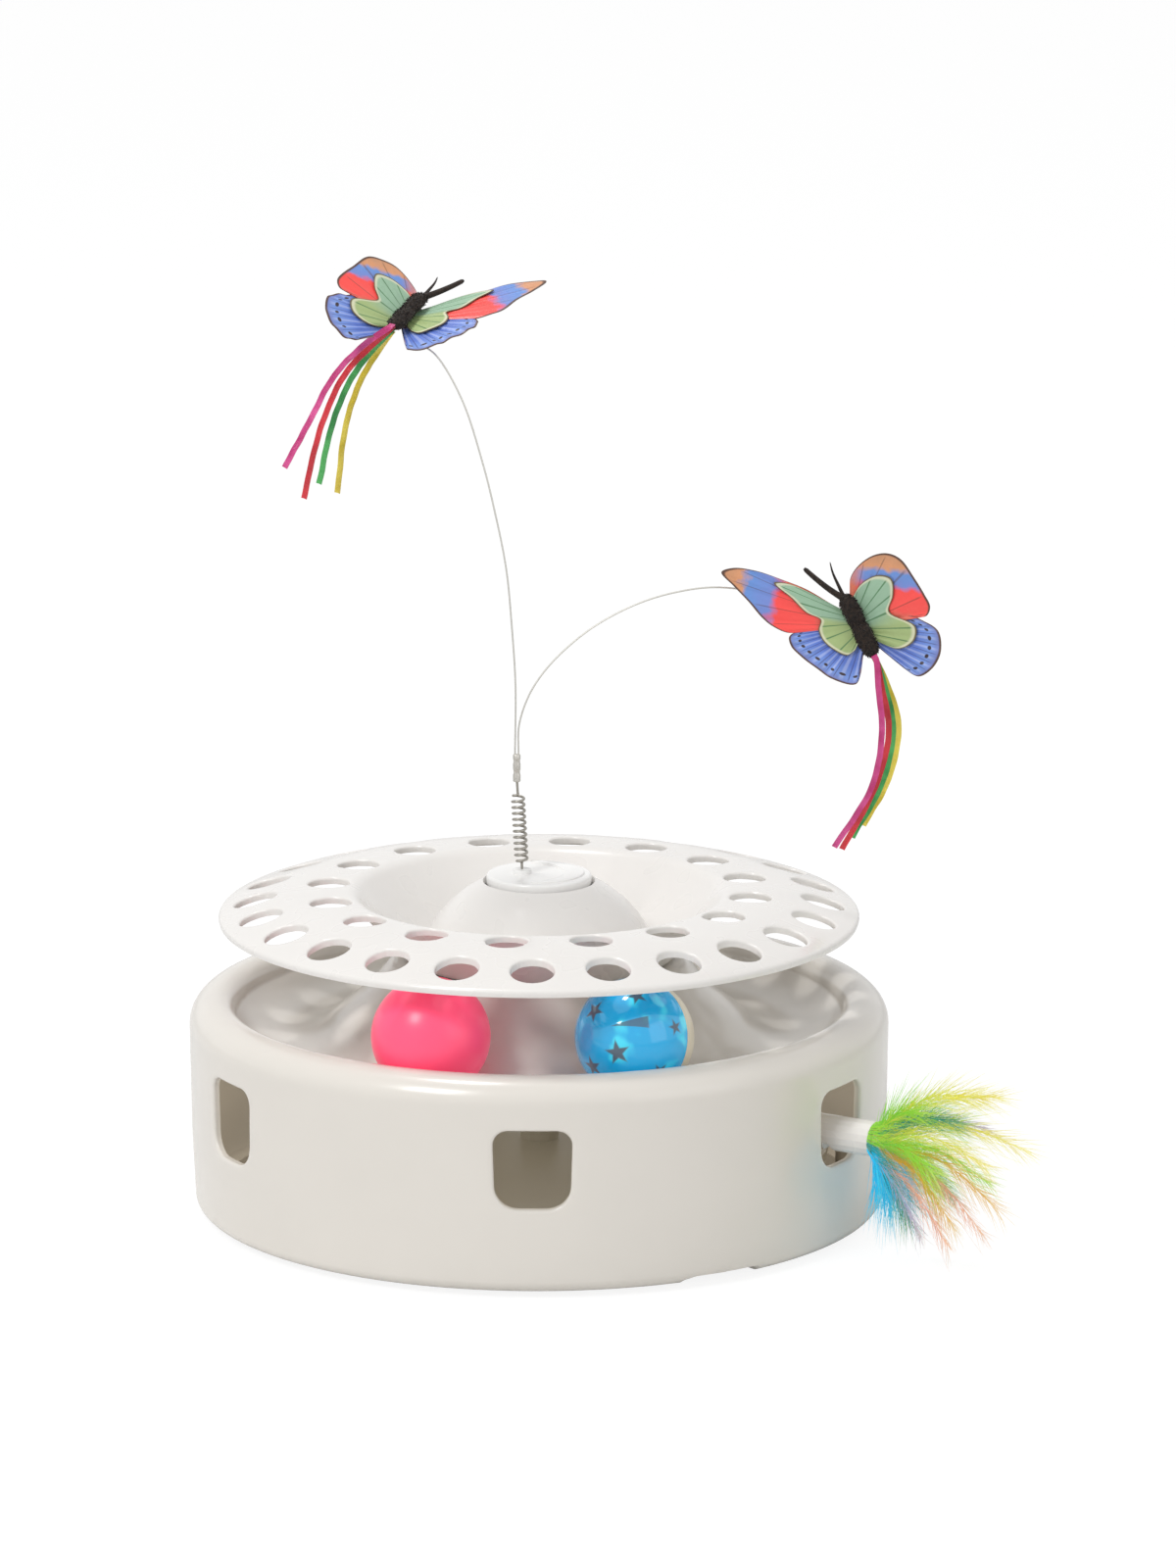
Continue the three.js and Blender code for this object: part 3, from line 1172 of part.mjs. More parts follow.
const RIBBON_COLOURS = { pink: '#cf3f86', red: '#b91e28', green: '#46963f', yellow: '#c8b43c' };
const LEFT_TAILS = {
  pink: [[-54.5, -7, 294.2], [-67.8, -7, 279.2], [-76.8, -9, 268.4], [-85.5, -10, 258.2]],
  red: [[-53.6, -3.8, 292.6], [-63.8, -3, 282.7], [-71.1, -2, 270.5], [-79.4, 0, 245.6]],
  green: [[-51.6, -0.6, 292.6], [-60.5, 1, 284.7], [-67.5, 3, 272.2], [-74.3, 6, 249.6]],
  yellow: [[-49.2, 3.5, 293.2], [-56.2, 5, 284.7], [-62.2, 7.5, 271.2], [-68.3, 12, 245.2]],
};
const RIGHT_TAILS = {
  pink: [[113, -9.5, 180.5], [115.5, -9, 167.5], [113.1, -8.5, 147], [100.6, -8, 126]],
  red: [[115.4, -6.4, 180.5], [118.8, -5.4, 167.5], [114.8, -4.4, 147], [103.4, -3, 124]],
  green: [[117.4, -3, 180.5], [120.6, -1.5, 167.5], [117.2, 0, 147], [107, 2, 127]],
  yellow: [[119.6, 0.4, 180.5], [122.6, 2.4, 167.5], [119.4, 4.4, 147], [111, 7, 130]],
};

function addTails(side, mirror, lure, tails) {
  const place = lurePlace(lure.x, lure.z, lure.tilt);
  const lean = radians(-BODY_LEAN) * mirror;
  const across = point(Math.cos(lean), Math.sin(lean), 0).transformDirection(place);
  const beyondTail = (reach, layer) => {
    const height = bodyLift + BODY_THICKNESS - RIBBON_PITCH * (layer + 0.65);
    const local = point(0, -BODY_LENGTH / 2 - reach, height);
    return local.applyAxisAngle(point(0, 0, 1), lean).applyMatrix4(place);
  };
  Object.entries(tails).forEach(([colour, stops], layer) => {
    const bend = beyondTail(1.7 + RIBBON_PITCH * (3 - layer), layer);
    bend.z -= 1;
    const fall = [beyondTail(2 * SEAT, layer), bend, ...stops.map((stop) => point(...stop))];
    const strip = ribbon(beyondTail(SEAT, layer), fall, across);
    part(`${side}_ribbon_${colour}`, strip, material(RIBBON_COLOURS[colour], 0.3));
  });
}
addTails('left', 1, LEFT_LURE, LEFT_TAILS);
addTails('right', -1, RIGHT_LURE, RIGHT_TAILS);

// Balls on the track: a pink one, and a blue one of two half shells with a lap joint
const BLUE_BALL_FACING = point(-0.47, -0.85, 0.23);
function halfBall(lap) {
  const outer = arc([0, 0], BALL_RADIUS, 0, 90, 5);
  const inner = arc([0, 0], BALL_RADIUS - BALL_WALL, 90, 0, 2);
  const middle = BALL_RADIUS - BALL_WALL / 2;
  const seam = lap
    ? [[BALL_RADIUS - BALL_WALL, -1.2], [middle - 0.15, -1.2], [middle - 0.15, 0]]
    : [[BALL_RADIUS - BALL_WALL, 1.5], [middle + 0.15, 1.5], [middle + 0.15, 0]];
  outer[5][0] = 0;
  inner[0][0] = 0;
  if (!lap) inner.pop();
  return revolve([...outer, ...inner, ...seam], 16);
}

// A group whose middle is that of a ball on the track
function onTrack(azimuth) {
  const carrier = new THREE.Group();
  const turn = radians(azimuth - 90);
  const level = TRACK_FLOOR + BALL_RADIUS + SEAT;
  carrier.position.set(trackRadius * Math.cos(turn), trackRadius * Math.sin(turn), level);
  toy.add(carrier);
  return carrier;
}

const pinkBall = new THREE.SphereGeometry(BALL_RADIUS, 18, 10).rotateX(Math.PI / 2);
part('pink_ball', pinkBall, material('#fe5677', 0.3), onTrack(PINK_BALL_AT));

const blueCarrier = onTrack(BLUE_BALL_AT);
blueCarrier.quaternion.setFromUnitVectors(point(0, 0, 1), BLUE_BALL_FACING.normalize());
const bluePlastic = material('#1eb4e8', 0.15, 0, { transparent: true, opacity: 0.85 });
part('blue_ball_front_half', halfBall(false), bluePlastic, blueCarrier);
const rearHalf = halfBall(true).rotateX(Math.PI).translate(0, 0, -SEAT / 2);
part('blue_ball_rear_half', rearHalf, material('#e6dfc8', 0.4), blueCarrier);

export default toy;
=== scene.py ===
# %% [markdown]
# # An interactive cat toy
# A round drum carries a ball track under a perforated cover, a rod with a feather tuft comes out
# of one of six windows, and a turntable on the dome swings two butterflies on steel wires. The
# frame that is loaded here has every rigid piece at its place, so this script gives the pieces
# their finishes and remakes those that need more form than the plain solids have.
# Distances in the script are in millimetres and turn into metres where a mesh is made.

# %% Load the frame
import json
import math
import random

import bmesh
import bpy
import numpy as np
from mathutils import Matrix, Vector


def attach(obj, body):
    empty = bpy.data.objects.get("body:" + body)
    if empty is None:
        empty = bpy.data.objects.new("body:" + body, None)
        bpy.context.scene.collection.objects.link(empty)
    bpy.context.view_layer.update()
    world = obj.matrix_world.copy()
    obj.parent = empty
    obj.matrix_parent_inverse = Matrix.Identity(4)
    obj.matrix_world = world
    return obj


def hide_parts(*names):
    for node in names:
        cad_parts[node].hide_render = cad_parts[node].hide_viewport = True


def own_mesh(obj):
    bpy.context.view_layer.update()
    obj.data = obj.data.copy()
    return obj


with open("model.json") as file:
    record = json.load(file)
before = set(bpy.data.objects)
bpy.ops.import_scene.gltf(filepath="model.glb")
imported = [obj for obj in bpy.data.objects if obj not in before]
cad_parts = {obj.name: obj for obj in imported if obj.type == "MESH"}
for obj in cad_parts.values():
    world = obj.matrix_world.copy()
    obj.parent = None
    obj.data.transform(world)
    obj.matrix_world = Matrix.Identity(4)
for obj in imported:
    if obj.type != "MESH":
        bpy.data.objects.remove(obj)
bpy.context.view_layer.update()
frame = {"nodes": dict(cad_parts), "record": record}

MM = 0.001
scene = bpy.context.scene
bodies = frame["record"]["behaviour"]["bodies"]
body_of = {node: body for body, members in bodies.items() for node in members}
slot_of = {row["node"]: row["material_slot"] for row in frame["record"]["subparts"]}

# %% [markdown]
# ## The camera
# The photograph was taken from far away and a little above, so its lens is long. The object sits
# low in the frame: the camera is turned up and to one side instead of being shifted, which keeps
# the same framing when another view moves the camera round the toy.

# %% Camera
IMAGE_LONG_SIDE = 1600
SENSOR = 36
FOCAL_PIXELS = 8980
AIM = Vector((0, 0, 0.043))
AIM_ACROSS = -49.77
AIM_DOWN = 298.75
DISTANCE = 3.027
ELEVATION = math.radians(14.97)

camera = bpy.data.objects.new("camera", bpy.data.cameras.new("camera"))
scene.collection.objects.link(camera)
camera.data.sensor_width = SENSOR
camera.data.lens = FOCAL_PIXELS * SENSOR / IMAGE_LONG_SIDE
camera.data.clip_end = 100
flat = math.hypot(AIM_DOWN, FOCAL_PIXELS)
ray = math.hypot(AIM_ACROSS, flat)
pitch = math.asin(ray * math.sin(ELEVATION) / flat) - math.atan(AIM_DOWN / FOCAL_PIXELS)
yaw = math.asin(AIM_ACROSS / (ray * math.cos(ELEVATION)))
camera.location = AIM + DISTANCE * Vector((0, -math.cos(ELEVATION), math.sin(ELEVATION)))
camera.rotation_euler = (math.radians(90) - pitch, 0, yaw)
scene.camera = camera
print("lens", round(camera.data.lens, 2), "mm")

# %% [markdown]
# ## Shader maths as plain expressions
# A finish is a small tree of nodes. Written out node by node, even a simple mask takes a page, so
# a wire wraps an output and adds the maths nodes when it meets an operator. Numbers use Math nodes
# and vectors use Vector Math. Everything else comes from one method that takes a node's type, its
# settings and its inputs.

# %% Wires
class Wire:
    """The output of a node, which adds maths nodes to its finish when it is calculated with."""

    def __init__(self, finish, socket):
        self.finish = finish
        self.socket = socket

    def meet(self, operation, other, flipped=False):
        wide = self.socket.type != "VALUE"
        if wide and not isinstance(other, Wire):
            other = (other,) * 3 if isinstance(other, (int, float)) else other
        first, second = (other, self) if flipped else (self, other)
        kind = "ShaderNodeVectorMath" if wide else "ShaderNodeMath"
        return self.finish.node(kind, {"operation": operation}, {0: first, 1: second})

    def __add__(self, other):
        return self.meet("ADD", other)

    def __radd__(self, other):
        return self.meet("ADD", other, True)

    def __sub__(self, other):
        return self.meet("SUBTRACT", other)

    def __rsub__(self, other):
        return self.meet("SUBTRACT", other, True)

    def __mul__(self, other):
        return self.meet("MULTIPLY", other)

    def __rmul__(self, other):
        return self.meet("MULTIPLY", other, True)

    def __truediv__(self, other):
        return self.meet("DIVIDE", other)

    def __rtruediv__(self, other):
        return self.meet("DIVIDE", other, True)


# %% Finishes
class Finish:
    """A material, with its nodes made as they are asked for."""

    def __init__(self, name):
        self.material = bpy.data.materials.new(name)
        self.material.use_nodes = True
        self.tree = self.material.node_tree
        self.skin = self.tree.nodes["Principled BSDF"]

    def node(self, kind, settings=None, inputs=None, output=0):
        made = self.tree.nodes.new(kind)
        for name, value in (settings or {}).items():
            if name == "stops":
                elements = made.color_ramp.elements
                while len(elements) < len(value):
                    elements.new(1)
                for element, (place, colour) in zip(elements, value):
                    element.position = place
                    element.color = (*colour, 1)
            else:
                setattr(made, name, value)
        for name, value in (inputs or {}).items():
            if isinstance(value, Wire):
                self.tree.links.new(value.socket, made.inputs[name])
            else:
                made.inputs[name].default_value = value
        return Wire(self, made.outputs[output])

    def place(self):
        return self.node("ShaderNodeTexCoord", output="Object")

    def value(self, name):
        return self.node("ShaderNodeAttribute", {"attribute_name": name}, output="Fac")

    def noise(self, size, detail=3):
        inputs = {"Vector": self.place(), "Scale": 1 / (size * MM), "Detail": detail}
        return self.node("ShaderNodeTexNoise", None, inputs, "Fac")

    def step(self, value, low, high):
        settings = {"interpolation_type": "SMOOTHSTEP"}
        return self.node("ShaderNodeMapRange", settings, {0: value, 1: low, 2: high})

    def maths(self, operation, *values):
        return self.node("ShaderNodeMath", {"operation": operation}, dict(enumerate(values)))

    def mix(self, share, low, high):
        colours = {6: low, 7: high}
        inputs = {i: c if isinstance(c, Wire) else (*c, 1) for i, c in colours.items()}
        return self.node("ShaderNodeMix", {"data_type": "RGBA"}, {0: share, **inputs}, 2)

    def bump(self, height, depth):
        inputs = {"Height": height, "Distance": depth * MM, "Strength": 1.0}
        return self.node("ShaderNodeBump", None, inputs)

    def wear(self, colour=None, roughness=None, normal=None, **constants):
        given = {"Base Color": colour, "Roughness": roughness, "Normal": normal}
        for name, value in {**given, **constants}.items():
            name = name.replace("_", " ")
            if isinstance(value, Wire):
                self.tree.links.new(value.socket, self.skin.inputs[name])
            elif value is not None:
                if name == "Base Color":
                    value = (*value, 1)
                self.skin.inputs[name].default_value = value
        return self


# %% Colours
def tint(red, green, blue):
    """A colour as it looks on a screen, from 0 to 255, as the linear light a shader takes."""
    shares = [v / 255 for v in (red, green, blue)]
    return tuple(s / 12.92 if s <= 0.04045 else ((s + 0.055) / 1.055) ** 2.4 for s in shares)


print("half of a screen's white as light", round(tint(128, 128, 128)[0], 3))

# %% [markdown]
# ## Studio
# The toy stands on a white sweep with hardly any shadow. The world is white for the camera, for
# reflections and through clear plastic, and dimmer as a light, so that white never comes from
# overexposing the toy. A broad lamp from the upper left gives the soft shading on the drum. The
# floor is lifted a little for the camera only, and still takes the shadow of the toy.

# %% World
WORLD_LIGHT = 0.56

world = bpy.data.worlds.new("studio")
scene.world = world
world.use_nodes = True
sky = world.node_tree
plain_light = sky.nodes["Background"]
plain_light.inputs["Strength"].default_value = WORLD_LIGHT
plain_light.inputs["Color"].default_value = (1, 1, 1, 1)
white_ground = sky.nodes.new("ShaderNodeBackground")
white_ground.inputs["Color"].default_value = (1, 1, 1, 1)
rays = sky.nodes.new("ShaderNodeLightPath")
seen = rays.outputs["Is Camera Ray"]
for other in ("Is Glossy Ray", "Is Transmission Ray"):
    either = sky.nodes.new("ShaderNodeMath")
    either.operation = "MAXIMUM"
    sky.links.new(seen, either.inputs[0])
    sky.links.new(rays.outputs[other], either.inputs[1])
    seen = either.outputs[0]
choose = sky.nodes.new("ShaderNodeMixShader")
sky.links.new(seen, choose.inputs[0])
sky.links.new(plain_light.outputs[0], choose.inputs[1])
sky.links.new(white_ground.outputs[0], choose.inputs[2])
sky.links.new(choose.outputs[0], sky.nodes["World Output"].inputs["Surface"])
scene.view_settings.view_transform = "Standard"
print("world light", WORLD_LIGHT)

# %% Lamps
LAMPS = [
    # name, place, power, size
    ("key", (-1.3, -1.5, 2.0), 26, 0.7),
    ("top", (-0.35, 0.15, 1.75), 7, 0.16),
    ("fill", (1.8, -1.6, 0.9), 5, 1.5),
]
for name, place, power, size in LAMPS:
    made = bpy.data.objects.new(name, bpy.data.lights.new(name, "AREA"))
    made.data.energy = power
    made.data.size = size
    made.location = place
    made.rotation_euler = (AIM - Vector(place)).to_track_quat("-Z", "Y").to_euler()
    scene.collection.objects.link(made)
print("lamps", len(LAMPS))

# %% Floor
FLOOR_REACH = 12
FLOOR_LIFT = 0.8
FLOOR_GLOW = 1.1
FLOOR_LEVEL = -2.02 * MM

paper = Finish("white_sweep")
paper_grain = paper.noise(4)
paper.wear(paper.mix(paper_grain, (0.86,) * 3, (0.9,) * 3), 0.9, Specular_IOR_Level=0.1)
glow = paper.node("ShaderNodeEmission", None, {"Color": (1, 1, 1, 1), "Strength": FLOOR_GLOW})
camera_only = paper.node("ShaderNodeLightPath") * FLOOR_LIFT
plain_paper = Wire(paper, paper.skin.outputs[0])
lifted = paper.node("ShaderNodeMixShader", None, {0: camera_only, 1: plain_paper, 2: glow})
paper.tree.links.new(lifted.socket, paper.tree.nodes["Material Output"].inputs["Surface"])

floor_mesh = bpy.data.meshes.new("floor")
floor_corners = [(x * FLOOR_REACH, y * FLOOR_REACH, FLOOR_LEVEL)
                 for x, y in ((-1, -1), (1, -1), (1, 1), (-1, 1))]
floor_mesh.from_pydata(floor_corners, [], [(0, 1, 2, 3)])
floor_mesh.materials.append(paper.material)
floor = bpy.data.objects.new("floor", floor_mesh)
scene.collection.objects.link(floor)
print("floor at", FLOOR_LEVEL)

# %% [markdown]
# ## From points to pieces
# Every piece below is gathered as points and faces in plain Python, because the real parts come
# from turned, moulded, bent or cut shapes that follow a formula. A shape keeps values for each
# point as well, such as how far along a wing it lies, and the finishes read them.

# %% Shapes
class Shape:
    """Points in millimetres, faces, and named values for each point."""

    def __init__(self, *names):
        self.points = []
        self.faces = []
        self.finish_of = []
        self.values = {name: [] for name in names}

    def add(self, points, faces, finish=0, **values):
        start = len(self.points)
        self.points += [Vector(p) for p in points]
        self.faces += [[start + i for i in face] for face in faces]
        self.finish_of += [finish] * len(faces)
        for name, known in self.values.items():
            given = values.get(name, 0)
            known += list(given) if isinstance(given, (list, tuple)) else [given] * len(points)

    def rings(self, rings, closed=False, finish=0, **values):
        """Joins rings of points into a skin, and shuts its two ends or joins last to first."""
        sides = len(rings[0])
        count = len(rings)
        faces = []
        for i in range(count if closed else count - 1):
            near, far_row = i * sides, ((i + 1) % count) * sides
            for j in range(sides):
                k = (j + 1) % sides
                faces.append((near + j, near + k, far_row + k, far_row + j))
        if not closed:
            faces += [tuple(range(sides))[::-1], tuple(range((count - 1) * sides, count * sides))]
        self.add([p for ring in rings for p in ring], faces, finish, **values)


# %% Pieces
def piece(name, shape, finishes, *stands_for, rides=None, sharp=38):
    """A closed mesh that stands for frame nodes, or rides with them as trim."""
    mesh = bpy.data.meshes.new(name)
    mesh.from_pydata([p * MM for p in shape.points], [], shape.faces)
    for finish in finishes:
        mesh.materials.append(finish.material)
    mesh.polygons.foreach_set("material_index", shape.finish_of)
    for key, known in shape.values.items():
        mesh.attributes.new(key, "FLOAT", "POINT").data.foreach_set("value", known)
    outward = bmesh.new()
    outward.from_mesh(mesh)
    bmesh.ops.recalc_face_normals(outward, faces=outward.faces)
    open_edges = sum(not edge.is_manifold for edge in outward.edges)
    outward.to_mesh(mesh)
    outward.free()
    mesh.shade_smooth()
    mesh.set_sharp_from_angle(angle=math.radians(sharp))
    made = bpy.data.objects.new(name, mesh)
    scene.collection.objects.link(made)
    carrier = rides or stands_for[0]
    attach(made, body_of[carrier])
    if stands_for:
        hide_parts(*stands_for)
    print(name, len(mesh.polygons), "faces,", open_edges, "open edges")
    return made


# %% Directions
def around(count):
    """Evenly spread directions as (cosine, sine) pairs."""
    turns = [2 * math.pi * k / count for k in range(count)]
    return [(math.cos(t), math.sin(t)) for t in turns]


def polar(radius, azimuth, height):
    """A point at an azimuth of the drum in degrees: 0 is the front and 90 the right side."""
    turn = math.radians(azimuth)
    return Vector((radius * math.sin(turn), -radius * math.cos(turn), height))


# %% [markdown]
# ## Moulded plastic
# The drum and its cover are injection mouldings in a warm white: satin, very slightly mottled,
# with the faintest unevenness where the plastic shrank. One broad noise moves the colour by a few
# percent and another ripples the surface. The cover is a shade whiter than the drum, and the
# turntable whiter still. The inner skin of the drum has a painted glow, in place of the light that
# thin plastic lets into the drum.
# Bare metal has a fine speckle of shade and gloss over a plain metal.

# %% Plastic finishes
def moulded(name, colour, darker=0.93, roughness=0.34, grain=0.05, mottle=26, **constants):
    finish = Finish(name)
    cloud = finish.noise(mottle, 1)
    shade = finish.mix(cloud, tuple(c * darker for c in colour), colour)
    gloss = finish.noise(12, 1) * 0.08 + (roughness - 0.04)
    ripple = finish.noise(24, 1)
    return finish.wear(shade, gloss, finish.bump(ripple, grain), **constants)


def bare_metal(name, colour, roughness=0.3):
    finish = Finish(name)
    speckle = finish.noise(1.6, 4)
    shade = finish.mix(speckle, tuple(c * 0.82 for c in colour), colour)
    return finish.wear(shade, speckle * 0.18 + roughness, finish.bump(speckle, 0.02), Metallic=1.0)


GLAZE = {"Coat_Weight": 0.2, "Coat_Roughness": 0.12}
shell_white = moulded("warm_white_drum", tint(225, 220, 212), 0.965, 0.24, 0.02, Coat_Weight=0.25,
                      Coat_Roughness=0.12, Emission_Strength=1.0)
# Painted light: the inner skin glows a dim olive grey, in place of the light that thin walls let
# into the drum; the outer skin does not glow.
inner_glow_colour = shell_white.mix(shell_white.value("inside"), (0, 0, 0), tint(98, 92, 82))
shell_white.wear(Emission_Color=inner_glow_colour)
cover_white = moulded("white_cover", tint(233, 230, 226), 0.97, 0.28, 0.015, **GLAZE)
disc_white = moulded("turntable_white", tint(246, 245, 243), 0.98, 0.26, 0.015, **GLAZE)
print("drum and cover plastics")


# %% [markdown]
# ## Mouldings with holes
# A moulding is a skin of even thickness: an outline of rounded corners turned about the axis, and
# the same outline moved in by the wall. The windows and the round holes could be cut by Boolean
# modifiers, but those leave slivers that catch the light. Here a rectangle of the turned grid is
# left out around each hole and filled with loops, and the rim is rounded over as a mould does it.

# %% Outlines of a moulding
TURN_STEP = 8  # degrees of a bend from row to row
RUN_STEP = 1.5  # millimetres of a straight run from row to row


def cross(a, b):
    return a.x * b.y - a.y * b.x


def outlines(corners, wall):
    """The outer and inner outline as (radius, height) rows that match one to one."""
    plain = [Vector(corner[:2]) for corner in corners]
    ahead = [(b - a).normalized() for a, b in zip(plain, plain[1:])]
    left = [Vector((-way.y, way.x)) for way in ahead]
    moved = [plain[0] + left[0] * wall]
    for i in range(1, len(plain) - 1):
        both = left[i - 1] + left[i]
        moved.append(plain[i] + both * (wall / (1 + left[i - 1].dot(left[i]))))
    moved.append(plain[-1] + left[-1] * wall)
    skins = []
    runs = []
    for line, inward in ((plain, 0), (moved, wall)):
        bends = [[line[0]]]
        for i in range(1, len(line) - 1):
            turn = math.atan2(cross(ahead[i - 1], ahead[i]), ahead[i - 1].dot(ahead[i]))
            side = math.copysign(1, turn)
            radius = max(corners[i][2] - inward, 0.3) if turn > 0 else corners[i][2] + inward
            start = line[i] - ahead[i - 1] * (radius * math.tan(abs(turn) / 2))
            centre = start + left[i - 1] * (side * radius)
            steps = max(1, round(abs(math.degrees(turn)) / TURN_STEP))
            arm = start - centre
            bends.append([
                centre + Matrix.Rotation(turn * k / steps, 2) @ arm for k in range(steps + 1)
            ])
        bends.append([line[-1]])
        rows = list(bends[0])
        for i, bend in enumerate(bends[1:]):
            if inward == 0:
                runs.append(max(1, round((bend[0] - rows[-1]).length / RUN_STEP)))
            here = rows[-1]
            rows += [here.lerp(bend[0], k / runs[i]) for k in range(1, runs[i])]
            rows += bend
        skins.append(rows)
    return skins


# %% Closed outlines
def rounded(corners, step=12, spacing=None):
    """A closed outline of (across, up) points from corners with their radii."""
    plain = [Vector(corner[:2]) for corner in corners]
    points = []
    for i, corner in enumerate(plain):
        before = (corner - plain[i - 1]).normalized()
        after = (plain[(i + 1) % len(plain)] - corner).normalized()
        turn = math.atan2(cross(before, after), before.dot(after))
        side = Vector((-before.y, before.x)) * math.copysign(corners[i][2], turn)
        start = corner - before * (corners[i][2] * math.tan(abs(turn) / 2))
        steps = max(2, round(abs(math.degrees(turn)) / step))
        for k in range(steps + 1):
            points.append(start + side + Matrix.Rotation(turn * k / steps, 2) @ -side)
    if not spacing:
        return points
    dense = []
    for i, p in enumerate(points):
        following = points[(i + 1) % len(points)]
        cuts = max(1, round((following - p).length / spacing))
        dense += [p.lerp(following, k / cuts) for k in range(cuts)]
    return dense


# %% The moulding
class Moulding:
    """A turned skin with holes, built as a grid of columns around the axis and rows along it."""

    def __init__(self, corners, wall, columns, first_at, raise_edge=None):
        self.skins = outlines(corners, wall)
        self.rows = len(self.skins[0])
        self.columns = columns
        self.pitch = 360 / columns
        self.first_at = first_at
        self.raise_edge = raise_edge
        self.shape = Shape("inside")
        self.left_out = set()
        self.grid = {}

    def spot(self, inner, azimuth, row):
        low = min(int(row), self.rows - 2)
        place = self.skins[inner][low].lerp(self.skins[inner][low + 1], row - low)
        height = place.y
        if self.raise_edge:
            height = max(height, self.raise_edge(azimuth) + (1.8 if inner else 0))
        return polar(place.x, azimuth, height)

    def outward(self, azimuth, row):
        low = min(int(row), self.rows - 2)
        way = (self.skins[0][low + 1] - self.skins[0][low]).normalized()
        return polar(way.y, azimuth, -way.x)

    def point(self, place, inner=0):
        self.shape.points.append(place)
        self.shape.values["inside"].append(inner)
        return len(self.shape.points) - 1

    def knot(self, inner, column, row):
        key = (inner, column % self.columns, row)
        if key not in self.grid:
            azimuth = self.first_at + column * self.pitch
            self.grid[key] = self.point(self.spot(inner, azimuth, row), inner)
        return self.grid[key]

    def band(self, near, beyond):
        count = len(near)
        for i in range(count):
            k = (i + 1) % count
            self.shape.faces.append([near[i], near[k], beyond[k], beyond[i]])

    def rows_between(self, from_value, to_value, upright, start=0, end=None):
        """The row numbers just outside two heights, or two radii when not upright."""
        keys = [p.y if upright else p.x for p in self.skins[0]]
        end = end or self.rows
        inside = [r for r in range(start, end) if from_value < keys[r] < to_value]
        return inside[0] - 1, inside[-1] + 1

    def finished(self):
        for inner in (0, 1):
            for row in range(self.rows - 1):
                for column in range(self.columns):
                    if (column, row) in self.left_out:
                        continue
                    self.shape.faces.append([
                        self.knot(inner, column, row), self.knot(inner, column + 1, row),
                        self.knot(inner, column + 1, row + 1), self.knot(inner, column, row + 1),
                    ])
        for row in (0, self.rows - 1):
            edges = [[self.knot(i, c, row) for c in range(self.columns)] for i in (0, 1)]
            self.band(*edges)
        self.shape.finish_of = [0] * len(self.shape.faces)
        return self.shape


# %% [markdown]
# ## A hole in a moulding
# The hole takes the place of a rectangle of the grid. Each knot on the rectangle's edge looks
# from the hole's middle towards the outline and meets it at one point, so the two match one to
# one. A window's outline is flat in front of the wall, as the sliding part of a mould is. A hole
# in the brim is drawn from above. Either way the point is then set on the skin.

# %% Bearings
def lengths_by_bearing(outline, centre):
    """The outline's bearings and lengths in order, with one more at each end to go round."""
    pairs = sorted(
        (math.atan2(p.y - centre.y, p.x - centre.x), (p - centre).length) for p in outline
    )
    full = 2 * math.pi
    turns = [pairs[-1][0] - full] + [b for b, _ in pairs] + [pairs[0][0] + full]
    return turns, [pairs[-1][1]] + [d for _, d in pairs] + [pairs[0][1]]


# %% The edge of a hole
class Hole:
    """A hole's edge. The outline lies in the wall's plane, or in the plan if not upright."""

    def __init__(self, moulding, azimuth, outline, rows, half_columns, upright):
        self.moulding = moulding
        self.azimuth = azimuth
        self.rows = rows
        self.upright = upright
        low, high = rows
        middle = round((azimuth - moulding.first_at) / moulding.pitch)
        first, last = middle - half_columns, middle + half_columns
        self.walk = [(c, low) for c in range(first, last)] + [(last, r) for r in range(low, high)]
        self.walk += [(c, high) for c in range(last, first, -1)]
        self.walk += [(first, r) for r in range(high, low, -1)]
        for c in range(first, last):
            moulding.left_out |= {(c % moulding.columns, r) for r in range(low, high)}
        self.centre = sum(outline, Vector((0, 0))) / len(outline)
        bearings = lengths_by_bearing(outline, self.centre)
        self.edge = []
        for column, row in self.walk:
            away = self.in_plane(column, row) - self.centre
            reach = np.interp(math.atan2(away.y, away.x), *bearings)
            self.edge.append(self.centre + away.normalized() * reach)

    def in_plane(self, column, row):
        """A knot of the outer skin, in the plane of the outline."""
        place = self.moulding.skins[0][row]
        turn = math.radians(self.moulding.first_at + column * self.moulding.pitch - self.azimuth)
        across = place.x * math.sin(turn)
        return Vector((across, place.y if self.upright else place.x * math.cos(turn)))

    def on_skin(self, inner, p):
        """The azimuth and the row at which a point of the plane meets a skin."""
        low, high = self.rows
        skin = self.moulding.skins[inner]
        span = range(max(low - 1, 0), min(high + 2, self.moulding.rows))
        keys = [skin[r].y if self.upright else skin[r].x for r in span]
        key = p.y if self.upright else p.length
        if keys[0] > keys[-1]:
            row = np.interp(key, keys[::-1], list(span)[::-1])
        else:
            row = np.interp(key, keys, list(span))
        radius = np.interp(row, list(span), [skin[r].x for r in span])
        turn = math.asin(p.x / radius) if self.upright else math.atan2(p.x, p.y)
        return self.azimuth + math.degrees(turn), float(row)

    def normals(self):
        """The way out of the hole at each point of its edge."""
        count = len(self.edge)
        out = []
        for i in range(count):
            along = self.edge[(i + 1) % count] - self.edge[i - 1]
            normal = Vector((along.y, -along.x)).normalized()
            out.append(normal if normal.dot(self.edge[i] - self.centre) > 0 else -normal)
        return out


# %% [markdown]
# ## Filling up to the hole
# The skin is led from the rectangle to the hole by loops of faces. Three loops lead to just
# outside the hole, three more bend over the rounded rim, one goes through the wall, and two lead
# back over the inner skin. A loop part of the way takes its azimuth and row from both ends.

# %% Loops round a hole
OUTER_SHARES = (0.34, 0.67, 1)
RIM_STEPS = 3


